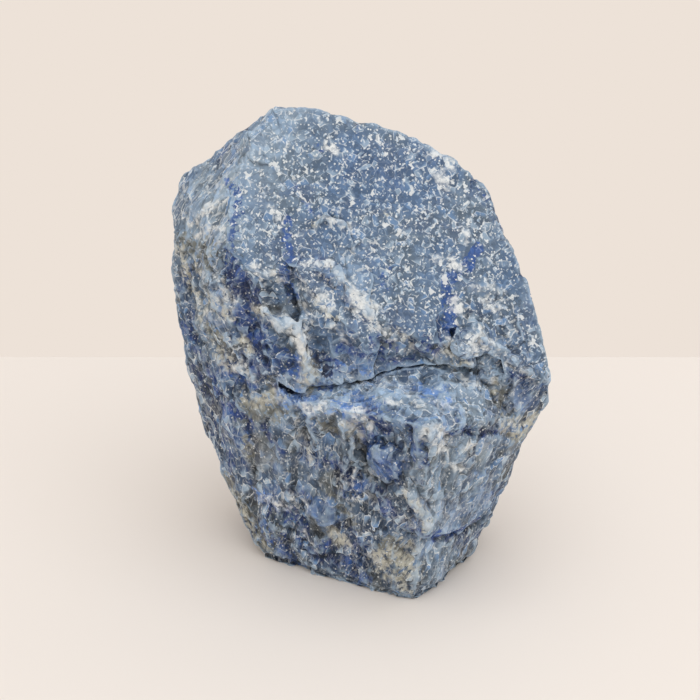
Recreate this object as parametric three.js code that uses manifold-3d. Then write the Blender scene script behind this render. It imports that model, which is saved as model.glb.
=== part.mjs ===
// A rough chunk of blue quartz, broken from a larger mass and standing on its narrow flat foot.
// Millimetres, +Z up, front towards -Y. The stone is one solid. Convex masses bounded by fracture
// faces are joined, small chips, ridges and lumps are laid over them as a change of height, and the
// skin is drawn over the result. Thin wedges are then split out and the foot is cut flat.
import * as THREE from 'three';
import { ConvexGeometry } from 'three/addons/geometries/ConvexGeometry.js';
import { mergeVertices } from 'three/addons/utils/BufferGeometryUtils.js';
import Module from 'manifold-3d';

const FOOT_DEPTH = 4;          // the masses run this far below the foot before it is cut flat
const BROW_HEIGHT = 44;        // about where the ledge breaks off into the lower faces
const SHIFT = [-1.5, -23.78, 0];  // moves the stone so that the origin is the middle of its footprint box

// Skin mesh: cell width at the front of the stone, and how much wider the cells get per millimetre back.
const CELL = 1.72;
const SPREAD = 0.013;
const FRONT = -10;             // y at which the cells have their front width

// Chips: small fracture facets, each shallow and bounded by ridges.
const COARSE_CHIP = 9;         // width of a coarse chip
const FINE_CHIP = 4.5;         // width of a fine chip
const CHIP_STRETCH = 1.6;      // how much longer than wide the chips of the lower faces are
const ROUGH_RELIEF = 1.5;      // relief of the broken faces
const SHOULDER_RELIEF = 0.9;   // relief of the narrow left shoulder and the crown
const FACE_RELIEF = 0.3;       // relief of the flat upper face
const CHIP_CROWN = 0.45;       // ridges between chips are blunted at this share of the relief

// The flat upper face as a plane: outward normal and distance from the origin.
const FACE_NORMAL = [0.102, -0.832, 0.545];
const FACE_OFFSET = 22.95;

// ---- Masses: each is the hull of the corners where its fracture faces meet ----

// The leaning upper mass. Its front is one flat cleavage face, from the crown down to the crest.
const UPPER_MASS = [
  // crown and right outline of the flat face, clockwise
  [-16, 36, 100], [-8, 36.5, 99.5], [3, 36, 96.5], [13, 35, 93.5], [21.8, 33, 89.4],
  [29, 30.5, 83.4], [33.6, 25, 74], [38, 19.5, 65], [40.5, 13.5, 55], [42, 11, 47.5], [38, 9.5, 49.5],
  // crest, where the flat face breaks off into the scarp, right to left
  [27, 13.5, 58], [16.5, 13.5, 59.5], [4.5, 14, 62.5], [-3, 18.5, 71], [-12.5, 18, 72], [-25, 17, 72.5],
  // left edge of the flat face, going up
  [-25, 24, 83.5], [-21, 30, 92],
  // narrow left shoulder, from the crown down the outline, and its lower facet
  [-20.6, 42, 93.8], [-29.8, 44, 85], [-36.8, 42, 81.6], [-38.5, 38, 77],
  [-37, 34.5, 75.5], [-32.5, 29.5, 79.5], [-37.5, 32.5, 72], [-26, 19, 75],
  // foot of the scarp
  [-20.5, 15, 46], [-10.5, 13, 44], [19, 13, 44], [34, 13, 44],
  // broken back, top to bottom
  [-14, 47, 95], [2, 46, 92], [20, 43, 84], [-33, 50, 76], [33, 38, 62], [-36, 46, 52],
  [10, 52, 62], [-18, 53, 60], [36, 28, 42], [-28, 44, 34], [22, 44, 36],
];

// The lower block stands forward of the upper mass, corner on, and tapers down to the foot.
const LOWER_BLOCK = [
  // brow, from the front corner to the left, then to the right
  [16, -6, 46], [-1, 2.5, 45], [-12.5, 8.5, 44], [-23.5, 14, 45], [33.5, 9.5, 37.5], [41, 15, 38.5],
  // back of the shelf
  [19, 14, 50.5], [-1, 14, 47], [-10.5, 14, 45], [32, 17, 49],
  // left outline
  [-35.6, 30, 40], [-33.8, 28, 34.5], [-31.2, 27, 24], [-27.8, 24, 17], [-24, 20, 7.5], [-21.5, 17, 3],
  // right outline
  [39.6, 17, 33], [37, 17, 27], [31.6, 17, 15], [28.2, 17, 7],
  // foot
  [13.8, -0.4, -FOOT_DEPTH], [-16.5, 14.5, -FOOT_DEPTH], [25.4, 16, -FOOT_DEPTH],
  [22, 36, -FOOT_DEPTH], [-12, 39, -FOOT_DEPTH],
  // back
  [-28, 44, 34], [22, 44, 36], [32, 32, 20], [-24, 40, 14], [10, 44, 14], [-10, 40, 52], [16, 36, 54],
];

// The blunt shoulder that closes the right side between the flat face and the lower block.
const RIGHT_SHOULDER = [
  [31.5, 9.8, 49.6], [38, 9.3, 50], [42, 12, 46.5], [41, 15, 38.5], [33.5, 9, 38],
  [30, 20, 52], [39.5, 22, 50], [34, 32, 50], [31, 33, 38], [39.6, 22, 36], [27, 14, 43],
];

// The rough left flank, one surface from the shoulder down past the ledge.
const LEFT_FLANK = [
  [-37.5, 32.5, 72], [-26, 19, 75], [-38.5, 33, 66], [-37.8, 32, 52], [-35.6, 30, 40], [-33.8, 28, 34.5],
  [-29.5, 25, 22], [-31.5, 24.5, 66], [-26, 17.5, 67], [-21, 14.6, 58], [-20, 14, 46], [-26.5, 17, 42],
  [-23.5, 16, 26], [-30, 44, 60], [-28, 42, 36], [-12, 24, 64], [-12, 24, 30],
];

// Two buttresses on the scarp below the crest, and the small block to the right of them.
const CENTRAL_BUTTRESS = [
  [-12, 16.8, 71.2], [-3, 16.8, 71], [1.5, 14, 66], [5.5, 12.6, 61.5],
  [-10.5, 13.2, 60.5], [-1, 11.6, 61], [3.5, 10.4, 54.5], [5, 9.8, 47.5],
  [-6, 10.2, 46], [-8.2, 11.8, 52], [-8, 22, 66], [4, 20, 60], [0, 22, 47],
];
const LEFT_BUTTRESS = [
  [-18.5, 13.4, 61], [-14, 12, 61.8], [-11, 11.6, 61.2], [-10, 11.2, 57.5], [-9.2, 10.2, 54],
  [-9, 9.8, 50], [-9.8, 9.2, 45], [-14, 9.8, 45], [-20, 12.6, 45], [-22, 13.6, 55],
  [-12, 22, 62], [-12, 22, 45], [-22, 22, 54],
];
const RIGHT_BLOCK = [
  [21, 12.4, 59.2], [26, 13, 60.5], [27.4, 11.6, 57.2], [27.6, 11, 55.2], [21.6, 10, 55], [21, 10.6, 54.4],
  [24, 20, 58], [22, 18, 54],
];
const POCKET_STONE = [
  [23.2, 10.2, 53.2], [25.8, 10.4, 53.6], [27, 11, 52], [26.6, 10.2, 50], [22.6, 9.8, 50], [22, 10.6, 52],
  [25, 17, 53], [25, 17, 50],
];

// A thin flake lying on the flat face above the crest.
const FACE_FLAKE = [
  [-9, 21.6, 77.6], [-5.2, 22.5, 80.4], [-1, 22.3, 79.4], [1.4, 21.5, 78], [0.5, 19.9, 73],
  [-8.5, 19.6, 72.6], [-4, 26, 77], [-4, 23, 72],
];

// The knob on the front left face, under the brow.
const FRONT_KNOB = [
  [3, 1.2, 38], [5, -1.4, 39.6], [8.6, -3.4, 40.6], [10.8, -3.2, 38.6], [10.4, -3.6, 33], [8.8, -1.6, 28.8],
  [6, 0, 30], [4.4, 0, 34], [6, 6, 36], [9, 6, 34],
];

const FULL_MASSES = [UPPER_MASS, LOWER_BLOCK, RIGHT_SHOULDER, LEFT_FLANK, CENTRAL_BUTTRESS,
  LEFT_BUTTRESS, RIGHT_BLOCK, FACE_FLAKE, FRONT_KNOB];

// ---- Hollows: wide wedges that came away ----

// The overhung pocket under the right end of the flat face.
const POCKET = [
  [22, 5, 56.4], [28, 5, 57.4], [33, 4, 55], [38.4, 4, 51.2], [36, 4, 47.6], [22, 4, 46.4],
  [24, 13, 54.2], [28.5, 13.6, 54.6], [34.5, 12.2, 51.8], [34, 11.8, 50.2], [24, 12.8, 51],
];

// The pit beside the left buttress.
const PIT = [
  [-9.4, 7, 54.6], [-3, 7, 56], [-2.6, 7, 49.4], [-8.8, 7, 47.4],
  [-8.2, 14, 54.2], [-5.4, 13.2, 54.8], [-4.6, 12, 51], [-7.8, 12.8, 49.8],
];

const HOLLOWS = [POCKET, PIT];

// The stone left standing in the pocket.
const LEFT_STANDING = [POCKET_STONE];

// ---- The crevice behind the ledge: points of its mouth from left to right ----
const CREVICE = [
  [-15, 12.5, 47.4], [-12.5, 10.2, 45.8], [-10, 9.8, 45.6], [-7, 10.2, 46.5], [-2, 9.8, 47], [2, 9.8, 48],
  [5.5, 10.6, 48.7], [10, 12, 50.3], [14.5, 12, 50.6], [19, 12, 51.2], [23, 10.5, 50.6], [27, 10, 50.9],
  [31, 9.6, 50.5],
];
const CREVICE_GAPE = 0.9;
const CREVICE_REACH = 3;

// ---- Strokes: ridges (rise above 0) and grooves (below 0) along a path, and round lumps at a point ----
const STROKES = [
  // lips of the crest and of the left buttress
  { path: [[-12.5, 17, 72], [-3, 17.5, 71], [1.5, 14.5, 65.5], [5.5, 13, 61.5]], reach: 3, rise: 0.9 },
  { path: [[-14, 12.5, 61.5], [-10.5, 12, 60], [-9, 11, 54], [-9.5, 9.5, 47]], reach: 2.6, rise: 0.8 },
  // lip over the pocket
  { path: [[26, 14.4, 61], [28, 12.6, 58.4], [33, 11.2, 54.6], [38, 9.6, 51]], reach: 2.2, rise: 0.9 },
  // front corner of the lower block, and the slanting rib left of it
  { path: [[16.5, -4.8, 43], [17.5, -4, 37]], reach: 3, rise: 0.6 },
  { path: [[11, -2, 33], [12, -2.5, 28], [14.5, -3, 24], [16.5, -1, 18.5]], reach: 2.6, rise: 1.1 },
  // upright columns of the front left face
  { path: [[-7, 5.5, 43], [-7, 6, 33]], reach: 2.6, rise: 0.7 },
  { path: [[-1, 3, 42], [-0.5, 4, 31]], reach: 2.4, rise: 0.6 },
  { path: [[13.5, -4.5, 43], [14.5, -4, 34]], reach: 2, rise: 0.6 },
  // grooves between them
  { path: [[-10.5, 7.5, 42], [-10.5, 8, 33]], reach: 2.2, rise: -0.9 },
  { path: [[-3.5, 4, 42], [-3.5, 5, 29]], reach: 2.2, rise: -1 },
  { path: [[1.5, 1.5, 41], [1.8, 2, 32], [1.5, 3.5, 20]], reach: 2.4, rise: -1.2 },
  { path: [[13, -3, 33], [14.5, -3.5, 28], [16.5, -1.5, 23]], reach: 2, rise: -0.9 },
  // notch in the brow above the knob
  { path: [[3.5, 0, 43], [8, -1.8, 42]], reach: 3.4, rise: -1.6 },
  // joint left of the central buttress, and the sunken band down the left side
  { path: [[-13.5, 16, 69.5], [-12, 14.5, 64.5], [-10.8, 13.5, 61.5]], reach: 2.4, rise: -1.3 },
  { path: [[-25, 17, 72], [-23, 15.5, 66.5], [-21, 14.5, 60], [-20, 14, 54]], reach: 3, rise: -1.1 },
  // joint down the right end of the scarp
  { path: [[20, 13.5, 59.5], [20.5, 11.5, 56], [20, 11, 52]], reach: 2.2, rise: -1.4 },
  // lumps: the round one low on the front left face, then the left flank, then the pocket
  { path: [[-6, 8, 18]], reach: 4.6, rise: 1.6 },
  { path: [[-17, 13.5, 11]], reach: 4.5, rise: 1.1 },
  { path: [[-29, 22, 66]], reach: 5, rise: 1.1 },
  { path: [[-31, 24, 55]], reach: 5.5, rise: 1.2 },
  { path: [[-28.5, 21, 45]], reach: 4.5, rise: 1 },
  { path: [[-24.5, 17, 34]], reach: 5, rise: 1 },
  // chips out of the right outline
  { path: [[34.5, 26, 77.5]], reach: 4.5, rise: -1 },
];

// The step across the front corner: the skin below this line is set back, and fades out downwards.
const STEP_LINE = [[9, 18.6], [14.5, 17.5], [17, 17], [20.5, 15.6], [25, 14.4], [30, 15.5]];
const STEP_DEPTH = 1.4;
const STEP_FADE = 11;

const wasm = await Module();
wasm.setup();

// ---- Field: how far a point is outside the stone (above 0) or inside it (below 0) ----

// The planes of a hull's faces, each as [x, y, z of the outward normal, distance].
function planesOf(corners) {
  const position = new ConvexGeometry(corners.map((c) => new THREE.Vector3(...c))).attributes.position;
  const planes = [];
  const face = new THREE.Triangle();
  const plane = new THREE.Plane();
  for (let i = 0; i < position.count; i += 3) {
    face.setFromAttributeAndIndices(position, i, i + 1, i + 2);
    face.getPlane(plane);
    planes.push([plane.normal.x, plane.normal.y, plane.normal.z, -plane.constant]);
  }
  return planes;
}

const massPlanes = FULL_MASSES.map(planesOf);
const hollowPlanes = HOLLOWS.map(planesOf);
const standingPlanes = LEFT_STANDING.map(planesOf);

function hullDistance(planes, x, y, z) {
  let most = -Infinity;
  for (const [nx, ny, nz, d] of planes) {
    most = Math.max(most, nx * x + ny * y + nz * z - d);
  }
  return most;
}

function blankDistance(x, y, z) {
  const distances = (hulls) => hulls.map((planes) => hullDistance(planes, x, y, z));
  const hollowed = Math.max(Math.min(...distances(massPlanes)), -Math.min(...distances(hollowPlanes)));
  return Math.min(hollowed, ...distances(standingPlanes));
}

const { smoothstep, lerp } = THREE.MathUtils;

// Relief of the chips at a point.
function reliefAt(x, y, z) {
  const [nx, ny, nz] = FACE_NORMAL;
  const offFace = Math.abs(nx * x + ny * y + nz * z - FACE_OFFSET);
  const flat = (1 - smoothstep(offFace, 0.8, 2.6)) * smoothstep(z, 58, 64);
  const broken = lerp(ROUGH_RELIEF, SHOULDER_RELIEF, smoothstep(z, 70, 76) * (1 - smoothstep(y, 44, 48)));
  return lerp(broken, FACE_RELIEF, flat);
}

// A steady random number from 0 to 1 for each grid cell.
function dice(i, j, k, n) {
  const s = Math.sin(i * 127.1 + j * 311.7 + k * 74.7 + n * 53.3) * 43758.5453;
  return s - Math.floor(s);
}

// Height of the chipped surface, about -1 to 1: every chip is a shallow bowl about its own centre.
function chipHeight(x, y, z, width) {
  const ci = Math.floor(x / width);
  const cj = Math.floor(y / width);
  const ck = Math.floor(z / width);
  let least = Infinity;
  for (let i = ci - 1; i <= ci + 1; i += 1) {
    for (let j = cj - 1; j <= cj + 1; j += 1) {
      for (let k = ck - 1; k <= ck + 1; k += 1) {
        const dx = x / width - i - dice(i, j, k, 1);
        const dy = y / width - j - dice(i, j, k, 2);
        const dz = z / width - k - dice(i, j, k, 3);
        least = Math.min(least, dx * dx + dy * dy + dz * dz + 0.35 * dice(i, j, k, 4));
      }
    }
  }
  return Math.min(CHIP_CROWN, 2.2 * least - 0.9);
}

// Distance from a point to a path, or to a single point.
function distanceTo(path, x, y, z) {
  let least = Infinity;
  for (let i = 0; i < Math.max(1, path.length - 1); i += 1) {
    const [ax, ay, az] = path[i];
    const [bx, by, bz] = path[Math.min(i + 1, path.length - 1)];
    const span = (bx - ax) ** 2 + (by - ay) ** 2 + (bz - az) ** 2;
    const along = ((x - ax) * (bx - ax) + (y - ay) * (by - ay) + (z - az) * (bz - az)) / (span || 1);
    const t = Math.min(1, Math.max(0, along));
    const off = Math.hypot(x - ax - t * (bx - ax), y - ay - t * (by - ay), z - az - t * (bz - az));
    least = Math.min(least, off);
  }
  return least;
}

function strokeHeight(x, y, z) {
  let height = 0;
  for (const { path, reach, rise } of STROKES) {
    const share = Math.min(1, distanceTo(path, x, y, z) / reach);
    height += rise * (path.length > 1 ? 1 - share : 1 - share * share);
  }
  return height;
}

// How far the skin is set back below the step line.
function stepHeight(x, y, z) {
  const last = STEP_LINE.length - 1;
  if (y > 16 || x <= STEP_LINE[0][0] || x > STEP_LINE[last][0]) {
    return 0;
  }
  const i = STEP_LINE.findIndex((s) => s[0] >= x);
  const [x0, z0] = STEP_LINE[i - 1];
  const [x1, z1] = STEP_LINE[i];
  const below = z0 + ((z1 - z0) * (x - x0)) / (x1 - x0) - z;
  const side = Math.min(1, (x - STEP_LINE[0][0]) / 3);
  return below < 0 ? 0 : -STEP_DEPTH * side * Math.max(0, 1 - below / STEP_FADE);
}

function stoneDistance(x, y, z) {
  const blank = blankDistance(x, y, z);
  if (Math.abs(blank) > 4) {
    return blank;
  }
  const height = z < BROW_HEIGHT ? BROW_HEIGHT + (z - BROW_HEIGHT) / CHIP_STRETCH : z;
  const chips = 0.6 * chipHeight(x, y, height, COARSE_CHIP) + 0.4 * chipHeight(x, y, height, FINE_CHIP);
  return blank - reliefAt(x, y, z) * chips - strokeHeight(x, y, z) - stepHeight(x, y, z);
}

// ---- Skin: one corner per grid cell that the surface crosses, set on the creases it holds ----

// The grid fans out backwards: a grid point in cells to millimetres.
function toStone([i, j, k]) {
  const y = FRONT + CELL * j * (1 + 0.5 * SPREAD * CELL * j);
  const width = CELL * (1 + SPREAD * (y - FRONT));
  return [width * i, y, width * k];
}

const fieldAt = (cell) => stoneDistance(...toStone(cell));

// Where the surface crosses between an inside and an outside grid point.
function crossing(a, b) {
  let low = 0;
  let high = 1;
  const at = (t) => a.map((v, n) => v + t * (b[n] - v));
  const sign = Math.sign(fieldAt(a));
  for (let n = 0; n < 7; n += 1) {
    const middle = (low + high) / 2;
    if (Math.sign(fieldAt(at(middle))) === sign) {
      low = middle;
    } else {
      high = middle;
    }
  }
  return at((low + high) / 2);
}

function normalAt(cell) {
  const step = 0.06;
  const slope = [0, 1, 2].map((axis) => {
    const ahead = cell.map((v, n) => (n === axis ? v + step : v));
    const behind = cell.map((v, n) => (n === axis ? v - step : v));
    return fieldAt(ahead) - fieldAt(behind);
  });
  return new THREE.Vector3(...slope).normalize();
}

// The point that lies best on all the crossed planes of a cell, kept inside the cell.
function cornerOf(crossings, cell) {
  const middle = new THREE.Vector3();
  crossings.forEach(({ point }) => middle.add(point));
  middle.divideScalar(crossings.length);
  const hold = 0.08;
  const m = [hold, 0, 0, 0, hold, 0, 0, 0, hold];
  const right = new THREE.Vector3();
  for (const { point, normal } of crossings) {
    const n = normal.toArray();
    for (let r = 0; r < 3; r += 1) {
      for (let c = 0; c < 3; c += 1) {
        m[3 * r + c] += n[r] * n[c];
      }
    }
    right.addScaledVector(normal, normal.dot(point.clone().sub(middle)));
  }
  const corner = right.applyMatrix3(new THREE.Matrix3().set(...m).invert()).add(middle);
  return corner.toArray().map((v, n) => Math.min(cell[n] + 0.96, Math.max(cell[n] + 0.04, v)));
}

// Fills grid points until no two inside points of a grid square meet only across its diagonal, so
// that the skin never touches itself along an edge.
function fillDiagonals(inside, size, indexOf) {
  let filled = 0;
  for (let i = 0; i < size[0] - 1; i += 1) {
    for (let j = 0; j < size[1] - 1; j += 1) {
      for (let k = 0; k < size[2] - 1; k += 1) {
        for (const [u, v] of [[[1, 0, 0], [0, 1, 0]], [[0, 1, 0], [0, 0, 1]], [[0, 0, 1], [1, 0, 0]]]) {
          const square = [
            indexOf(i, j, k),
            indexOf(i + u[0], j + u[1], k + u[2]),
            indexOf(i + u[0] + v[0], j + u[1] + v[1], k + u[2] + v[2]),
            indexOf(i + v[0], j + v[1], k + v[2]),
          ];
          const pattern = square.map((index) => inside[index]).join('');
          if (pattern === '1010' || pattern === '0101') {
            square.forEach((index) => { inside[index] = 1; });
            filled += 1;
          }
        }
      }
    }
  }
  return filled;
}

// Fills the outside grid points that open air does not reach.
function fillBubbles(inside, size, indexOf) {
  const air = new Uint8Array(inside.length);
  const open = [[0, 0, 0]];
  air[0] = 1;
  while (open.length > 0) {
    const here = open.pop();
    for (let axis = 0; axis < 3; axis += 1) {
      for (const step of [-1, 1]) {
        const there = here.map((v, n) => (n === axis ? v + step : v));
        const index = indexOf(...there);
        if (there[axis] >= 0 && there[axis] < size[axis] && !inside[index] && !air[index]) {
          air[index] = 1;
          open.push(there);
        }
      }
    }
  }
  air.forEach((reached, index) => { inside[index] = reached ? 0 : 1; });
}

// Draws the skin over the field, in the box of grid cells from low to high.
function drawSkin(low, high) {
  const size = high.map((h, n) => h - low[n] + 1);
  const indexOf = (i, j, k) => (i * size[1] + j) * size[2] + k;
  const inside = new Uint8Array(size[0] * size[1] * size[2]);
  for (let i = 0; i < size[0]; i += 1) {
    for (let j = 0; j < size[1]; j += 1) {
      for (let k = 0; k < size[2]; k += 1) {
        inside[indexOf(i, j, k)] = fieldAt([i + low[0], j + low[1], k + low[2]]) < 0 ? 1 : 0;
      }
    }
  }
  do {
    fillBubbles(inside, size, indexOf);
  } while (fillDiagonals(inside, size, indexOf) > 0);
  const crossed = new Map();
  const quads = [];
  for (let i = 1; i < size[0] - 1; i += 1) {
    for (let j = 1; j < size[1] - 1; j += 1) {
      for (let k = 1; k < size[2] - 1; k += 1) {
        for (let axis = 0; axis < 3; axis += 1) {
          const here = [i, j, k];
          const there = here.map((v, n) => (n === axis ? v + 1 : v));
          const leaving = inside[indexOf(...here)] - inside[indexOf(...there)];
          if (leaving !== 0) {
            const [u, v] = [(axis + 1) % 3, (axis + 2) % 3];
            const ring = [[0, 0], [-1, 0], [-1, -1], [0, -1]].map(([du, dv]) => {
              const cell = [...here];
              cell[u] += du;
              cell[v] += dv;
              return indexOf(...cell);
            });
            const grid = [here, there].map((g) => g.map((value, n) => value + low[n]));
            const point = crossing(...grid);
            const cross = { point: new THREE.Vector3(...point), normal: normalAt(point) };
            for (const cell of ring) {
              crossed.set(cell, [...(crossed.get(cell) || []), cross]);
            }
            quads.push(leaving > 0 ? ring : ring.reverse());
          }
        }
      }
    }
  }
  const order = new Map();
  const points = [];
  for (const [index, crossings] of crossed) {
    const cell = [Math.floor(index / (size[1] * size[2])), Math.floor(index / size[2]) % size[1],
      index % size[2]].map((v, n) => v + low[n]);
    order.set(index, points.length);
    points.push(toStone(cornerOf(crossings, cell)));
  }
  const faces = quads.flatMap((quad) => splitQuad(quad.map((cell) => order.get(cell)), points));
  return { points, faces };
}

// Two faces for a quad, along the diagonal that stays nearer the surface.
function splitQuad([a, b, c, d], points) {
  const off = (p, q) => Math.abs(stoneDistance(...points[p].map((v, n) => (v + points[q][n]) / 2)));
  return off(a, c) < off(b, d) ? [a, b, c, a, c, d] : [b, c, d, b, d, a];
}

// ---- Solids ----

function solidFrom(positions, index) {
  const mesh = new wasm.Mesh({
    numProp: 3,
    vertProperties: new Float32Array(positions),
    triVerts: new Uint32Array(index),
  });
  return new wasm.Manifold(mesh);
}

function solidOf(geometry) {
  geometry.deleteAttribute('normal');
  geometry.deleteAttribute('uv');
  const merged = mergeVertices(geometry, 1e-4);
  return solidFrom(merged.attributes.position.array, merged.index.array);
}

// One length of the crevice: a wedge that is open in front and closes to an edge inside.
function creviceWedge(a, b) {
  const corners = [a, b].flatMap(([x, y, z]) => [
    [x, y - 3.5, z + CREVICE_GAPE], [x, y - 3.5, z - CREVICE_GAPE], [x, y + CREVICE_REACH, z],
  ]);
  return solidOf(new ConvexGeometry(corners.map((c) => new THREE.Vector3(...c))));
}

function boxOf(low, high) {
  const box = new THREE.BoxGeometry(...high.map((h, n) => h - low[n]));
  box.translate(...high.map((h, n) => (h + low[n]) / 2));
  return solidOf(box);
}

// ---- The stone ----

const skin = drawSkin([-28, 0, -4], [28, 31, 60]);
let stone = solidFrom(skin.points.flat(), skin.faces);
for (let n = 1; n < CREVICE.length; n += 1) {
  stone = stone.subtract(creviceWedge(CREVICE[n - 1], CREVICE[n]));
}
stone = stone.intersect(boxOf([-90, -90, 0], [90, 90, 150]));

const out = stone.getMesh();
const geometry = new THREE.BufferGeometry();
geometry.setAttribute('position', new THREE.BufferAttribute(out.vertProperties, 3));
geometry.setIndex(new THREE.BufferAttribute(out.triVerts, 1));
geometry.translate(...SHIFT);
geometry.computeVertexNormals();

const specimen = new THREE.Mesh(
  geometry,
  new THREE.MeshStandardMaterial({ color: 0x5f7699, roughness: 0.5, metalness: 0 }),
);
specimen.name = 'blue_quartz';
const root = new THREE.Group();
root.add(specimen);

export default root;
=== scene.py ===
"""A rough chunk of blue quartz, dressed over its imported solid, and the plain stage it stands on."""

import math
from collections import namedtuple

import bmesh
import bpy
import numpy as np
from bpy.props import FloatProperty, FloatVectorProperty, IntProperty, PointerProperty
from mathutils import Euler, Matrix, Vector
from mathutils.bvhtree import BVHTree


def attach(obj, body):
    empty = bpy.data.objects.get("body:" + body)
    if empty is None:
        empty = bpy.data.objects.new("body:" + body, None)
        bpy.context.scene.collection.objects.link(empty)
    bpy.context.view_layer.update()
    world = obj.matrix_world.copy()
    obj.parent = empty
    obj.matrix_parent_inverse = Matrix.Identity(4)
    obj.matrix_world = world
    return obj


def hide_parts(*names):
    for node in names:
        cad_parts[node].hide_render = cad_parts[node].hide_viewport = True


bl_info = {
    "name": "Blue Quartz Specimen",
    "version": (1, 0, 0),
    "blender": (4, 5, 0),
    "location": "View3D > Sidebar > Quartz",
    "description": "Dresses a rough chunk of blue quartz and sets the stage it stands on",
    "category": "Object",
}

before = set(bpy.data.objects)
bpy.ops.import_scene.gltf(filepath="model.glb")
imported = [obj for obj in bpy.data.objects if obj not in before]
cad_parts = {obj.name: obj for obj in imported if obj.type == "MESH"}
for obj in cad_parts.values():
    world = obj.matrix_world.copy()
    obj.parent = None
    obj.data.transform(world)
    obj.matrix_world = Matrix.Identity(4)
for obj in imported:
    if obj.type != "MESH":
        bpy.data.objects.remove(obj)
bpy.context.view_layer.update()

NODE = "blue_quartz"
MM = 0.001

# Lengths and places on the stone are in mm.

# The flat cleavage face: its outward direction and its distance from the origin. The skin counts as
# flat where it is this near the face and turned this much the same way, fading between two values.
FACE_TURN = np.array([0.102, -0.832, 0.545])
FACE_DISTANCE = 42.58
FACE_DEPTH = (1.2, 2.4)
FACE_ALIKE = (0.86, 0.95)

# The way that the front of the stone faces. A point is hidden from the front where its outward
# direction has less than this much of it.
TOWARDS_FRONT = np.array([0.0, -0.9, 0.44])
HIDDEN_BELOW = -0.3

# The narrow left shoulder runs this way, down from the crown.
SHOULDER_RUN = np.array([-0.60, -0.08, -0.79])

# Borders of the zones of the skin, each one fading between two places: how high the strands run, how
# far to the right the right flank starts and how high it reaches, where strands run too, how low the
# left shoulder reaches, and where the skin starts to break above the foot.
STRANDS_TOP = (38.0, 46.0)
RIGHT_FLANK = (22.0, 28.0)
RIGHT_FLANK_TOP = (60.0, 70.0)
SHOULDER_FOOT = (64.0, 72.0)
BREAKING_FROM = (-0.2, 1.0)

# What part of an outward direction points up, left or forwards before a zone takes it to face so,
# fading between two values.
FACING_UP = (0.45, 0.75)
FACING_LEFT = (0.30, 0.45)
FACING_FORWARDS = (0.0, 0.2)

# The strands fan out upwards, to about twice their width over this height.
FAN_HEIGHT = 130.0

# The foot. What is lower than UNDER_FOOT lies under it, where edges may be FOOT_EDGES times longer.
# What faces down more steeply than FOOT_DOWN is left flat, and the edge round it is worn back by
# FOOT_ROUNDING in each of the two rounds of carving, less and less up to FOOT_EDGE_TOP.
UNDER_FOOT = 0.01
FOOT_EDGES = 4.0
FOOT_DOWN = -0.7
FOOT_ROUNDING = 0.58
FOOT_EDGE_TOP = 2.6

# Strokes that reach at least this share of the longest coarse edge are carved into the coarse skin,
# and the finer ones into the fine skin.
COARSE_SHARE = 0.7

# How often the skin is smoothed to find what stands out of it, how far a point may stand out, and the
# height from which that holds.
SMOOTHING_ROUNDS = 14
SHARPEST = 0.6
BLUNT_FROM = 2.0

# How far a point stands out of the smoothed skin where painted light shows through thin edges, and where
# painted shade darkens the hollows below the skin, fading between two values.
LIT_THIN_EDGES = (0.05, 0.4)
SHADED_HOLLOWS = (-0.5, 0.0)

# Between these heights painted shade makes the stone darker towards the foot.
FOOT_SHADE_HEIGHTS = (4.0, 34.0)

# How far one step of the seed moves every pattern.
SEED_STEP = 3.71

# One layer of grains: how much it covers, the line along its crisp edges, the tilt of each grain
# and two random numbers for each grain.
Layer = namedtuple("Layer", "cover rim tilt tone hue")

# The camera looks down at the front of the stone. Its picture is square. Places on the stage are in
# metres.
CAMERA_PLACE = (-0.0015, -0.2848, 0.18777)
CAMERA_TURN = (math.radians(64.0), 0.0, 0.0)
LENS = 74.98
SENSOR = 36.0
PICTURE_WIDTH = 700

# The lamps hang at these places and aim at the middle of the stone.
KEY_PLACE = (0.11, -0.19, 0.94)
SIDE_PLACE = (0.75, -0.40, 0.32)
LAMP_AIM = (0.0, 0.0, 0.05)
LAMP_SHADE = (0.92, 1.0, 1.09)
AIR_SHADE = (1.0, 0.975, 0.935, 1.0)
BLACK = (0.0, 0.0, 0.0, 1.0)

# Marks on the side towards the camera. Each stroke has a reach in mm, a strength and the places that it
# runs through in the camera's square picture, in pixels across and down from the top left corner.

# Narrow royal blue veins.
VEINS = (
    (1.2, 0.95, (286, 219), (288, 235), (288, 251), (286, 269), (285, 285)),
    (1.3, 0.9, (285, 272), (289, 288), (292, 296)),
    (1.0, 0.9, (230, 181), (234, 195), (239, 207), (232, 223), (228, 235), (227, 253), (227, 266)),
    (1.2, 1.0, (482, 247), (474, 257), (466, 266)),
    (1.4, 1.1, (454, 276), (450, 287), (449, 297), (450, 308), (448, 318), (450, 326)),
    (1.0, 0.6, (318, 145), (321, 150)),
    (1.0, 0.6, (356, 128), (362, 131)),
    (1.5, 0.45, (385, 266), (384, 276), (383, 288)),
    (1.2, 0.5, (296, 190), (304, 205), (316, 214)),
    (0.9, 0.5, (480, 190), (488, 200)),
    (1.2, 0.7, (262, 326), (265, 338), (264, 350)),
    (2.6, 0.9, (273, 356), (282, 360), (290, 366)),
    (1.6, 0.8, (224, 364), (230, 369)),
    (1.4, 0.9, (240, 378), (248, 381), (255, 385)),
    (2.0, 0.45, (338, 486), (344, 498)),
    (3.6, 0.72, (370, 448), (380, 456), (386, 466), (388, 476)),
    (2.6, 0.7, (412, 430), (416, 445), (420, 460)),
    (1.6, 0.8, (404, 424), (412, 428)),
    (2.4, 0.7, (273, 540), (282, 550), (296, 562)),
    (2.4, 0.7, (346, 562), (354, 574), (360, 582)),
    (2.0, 0.7, (280, 548), (288, 556)),
    (2.4, 0.8, (351, 566), (362, 578)),
    (1.2, 0.9, (436, 533), (452, 535), (466, 528)),
    (1.4, 0.7, (346, 418), (356, 424)),
    (1.8, 0.6, (300, 380), (312, 384), (330, 386)),
)
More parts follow.
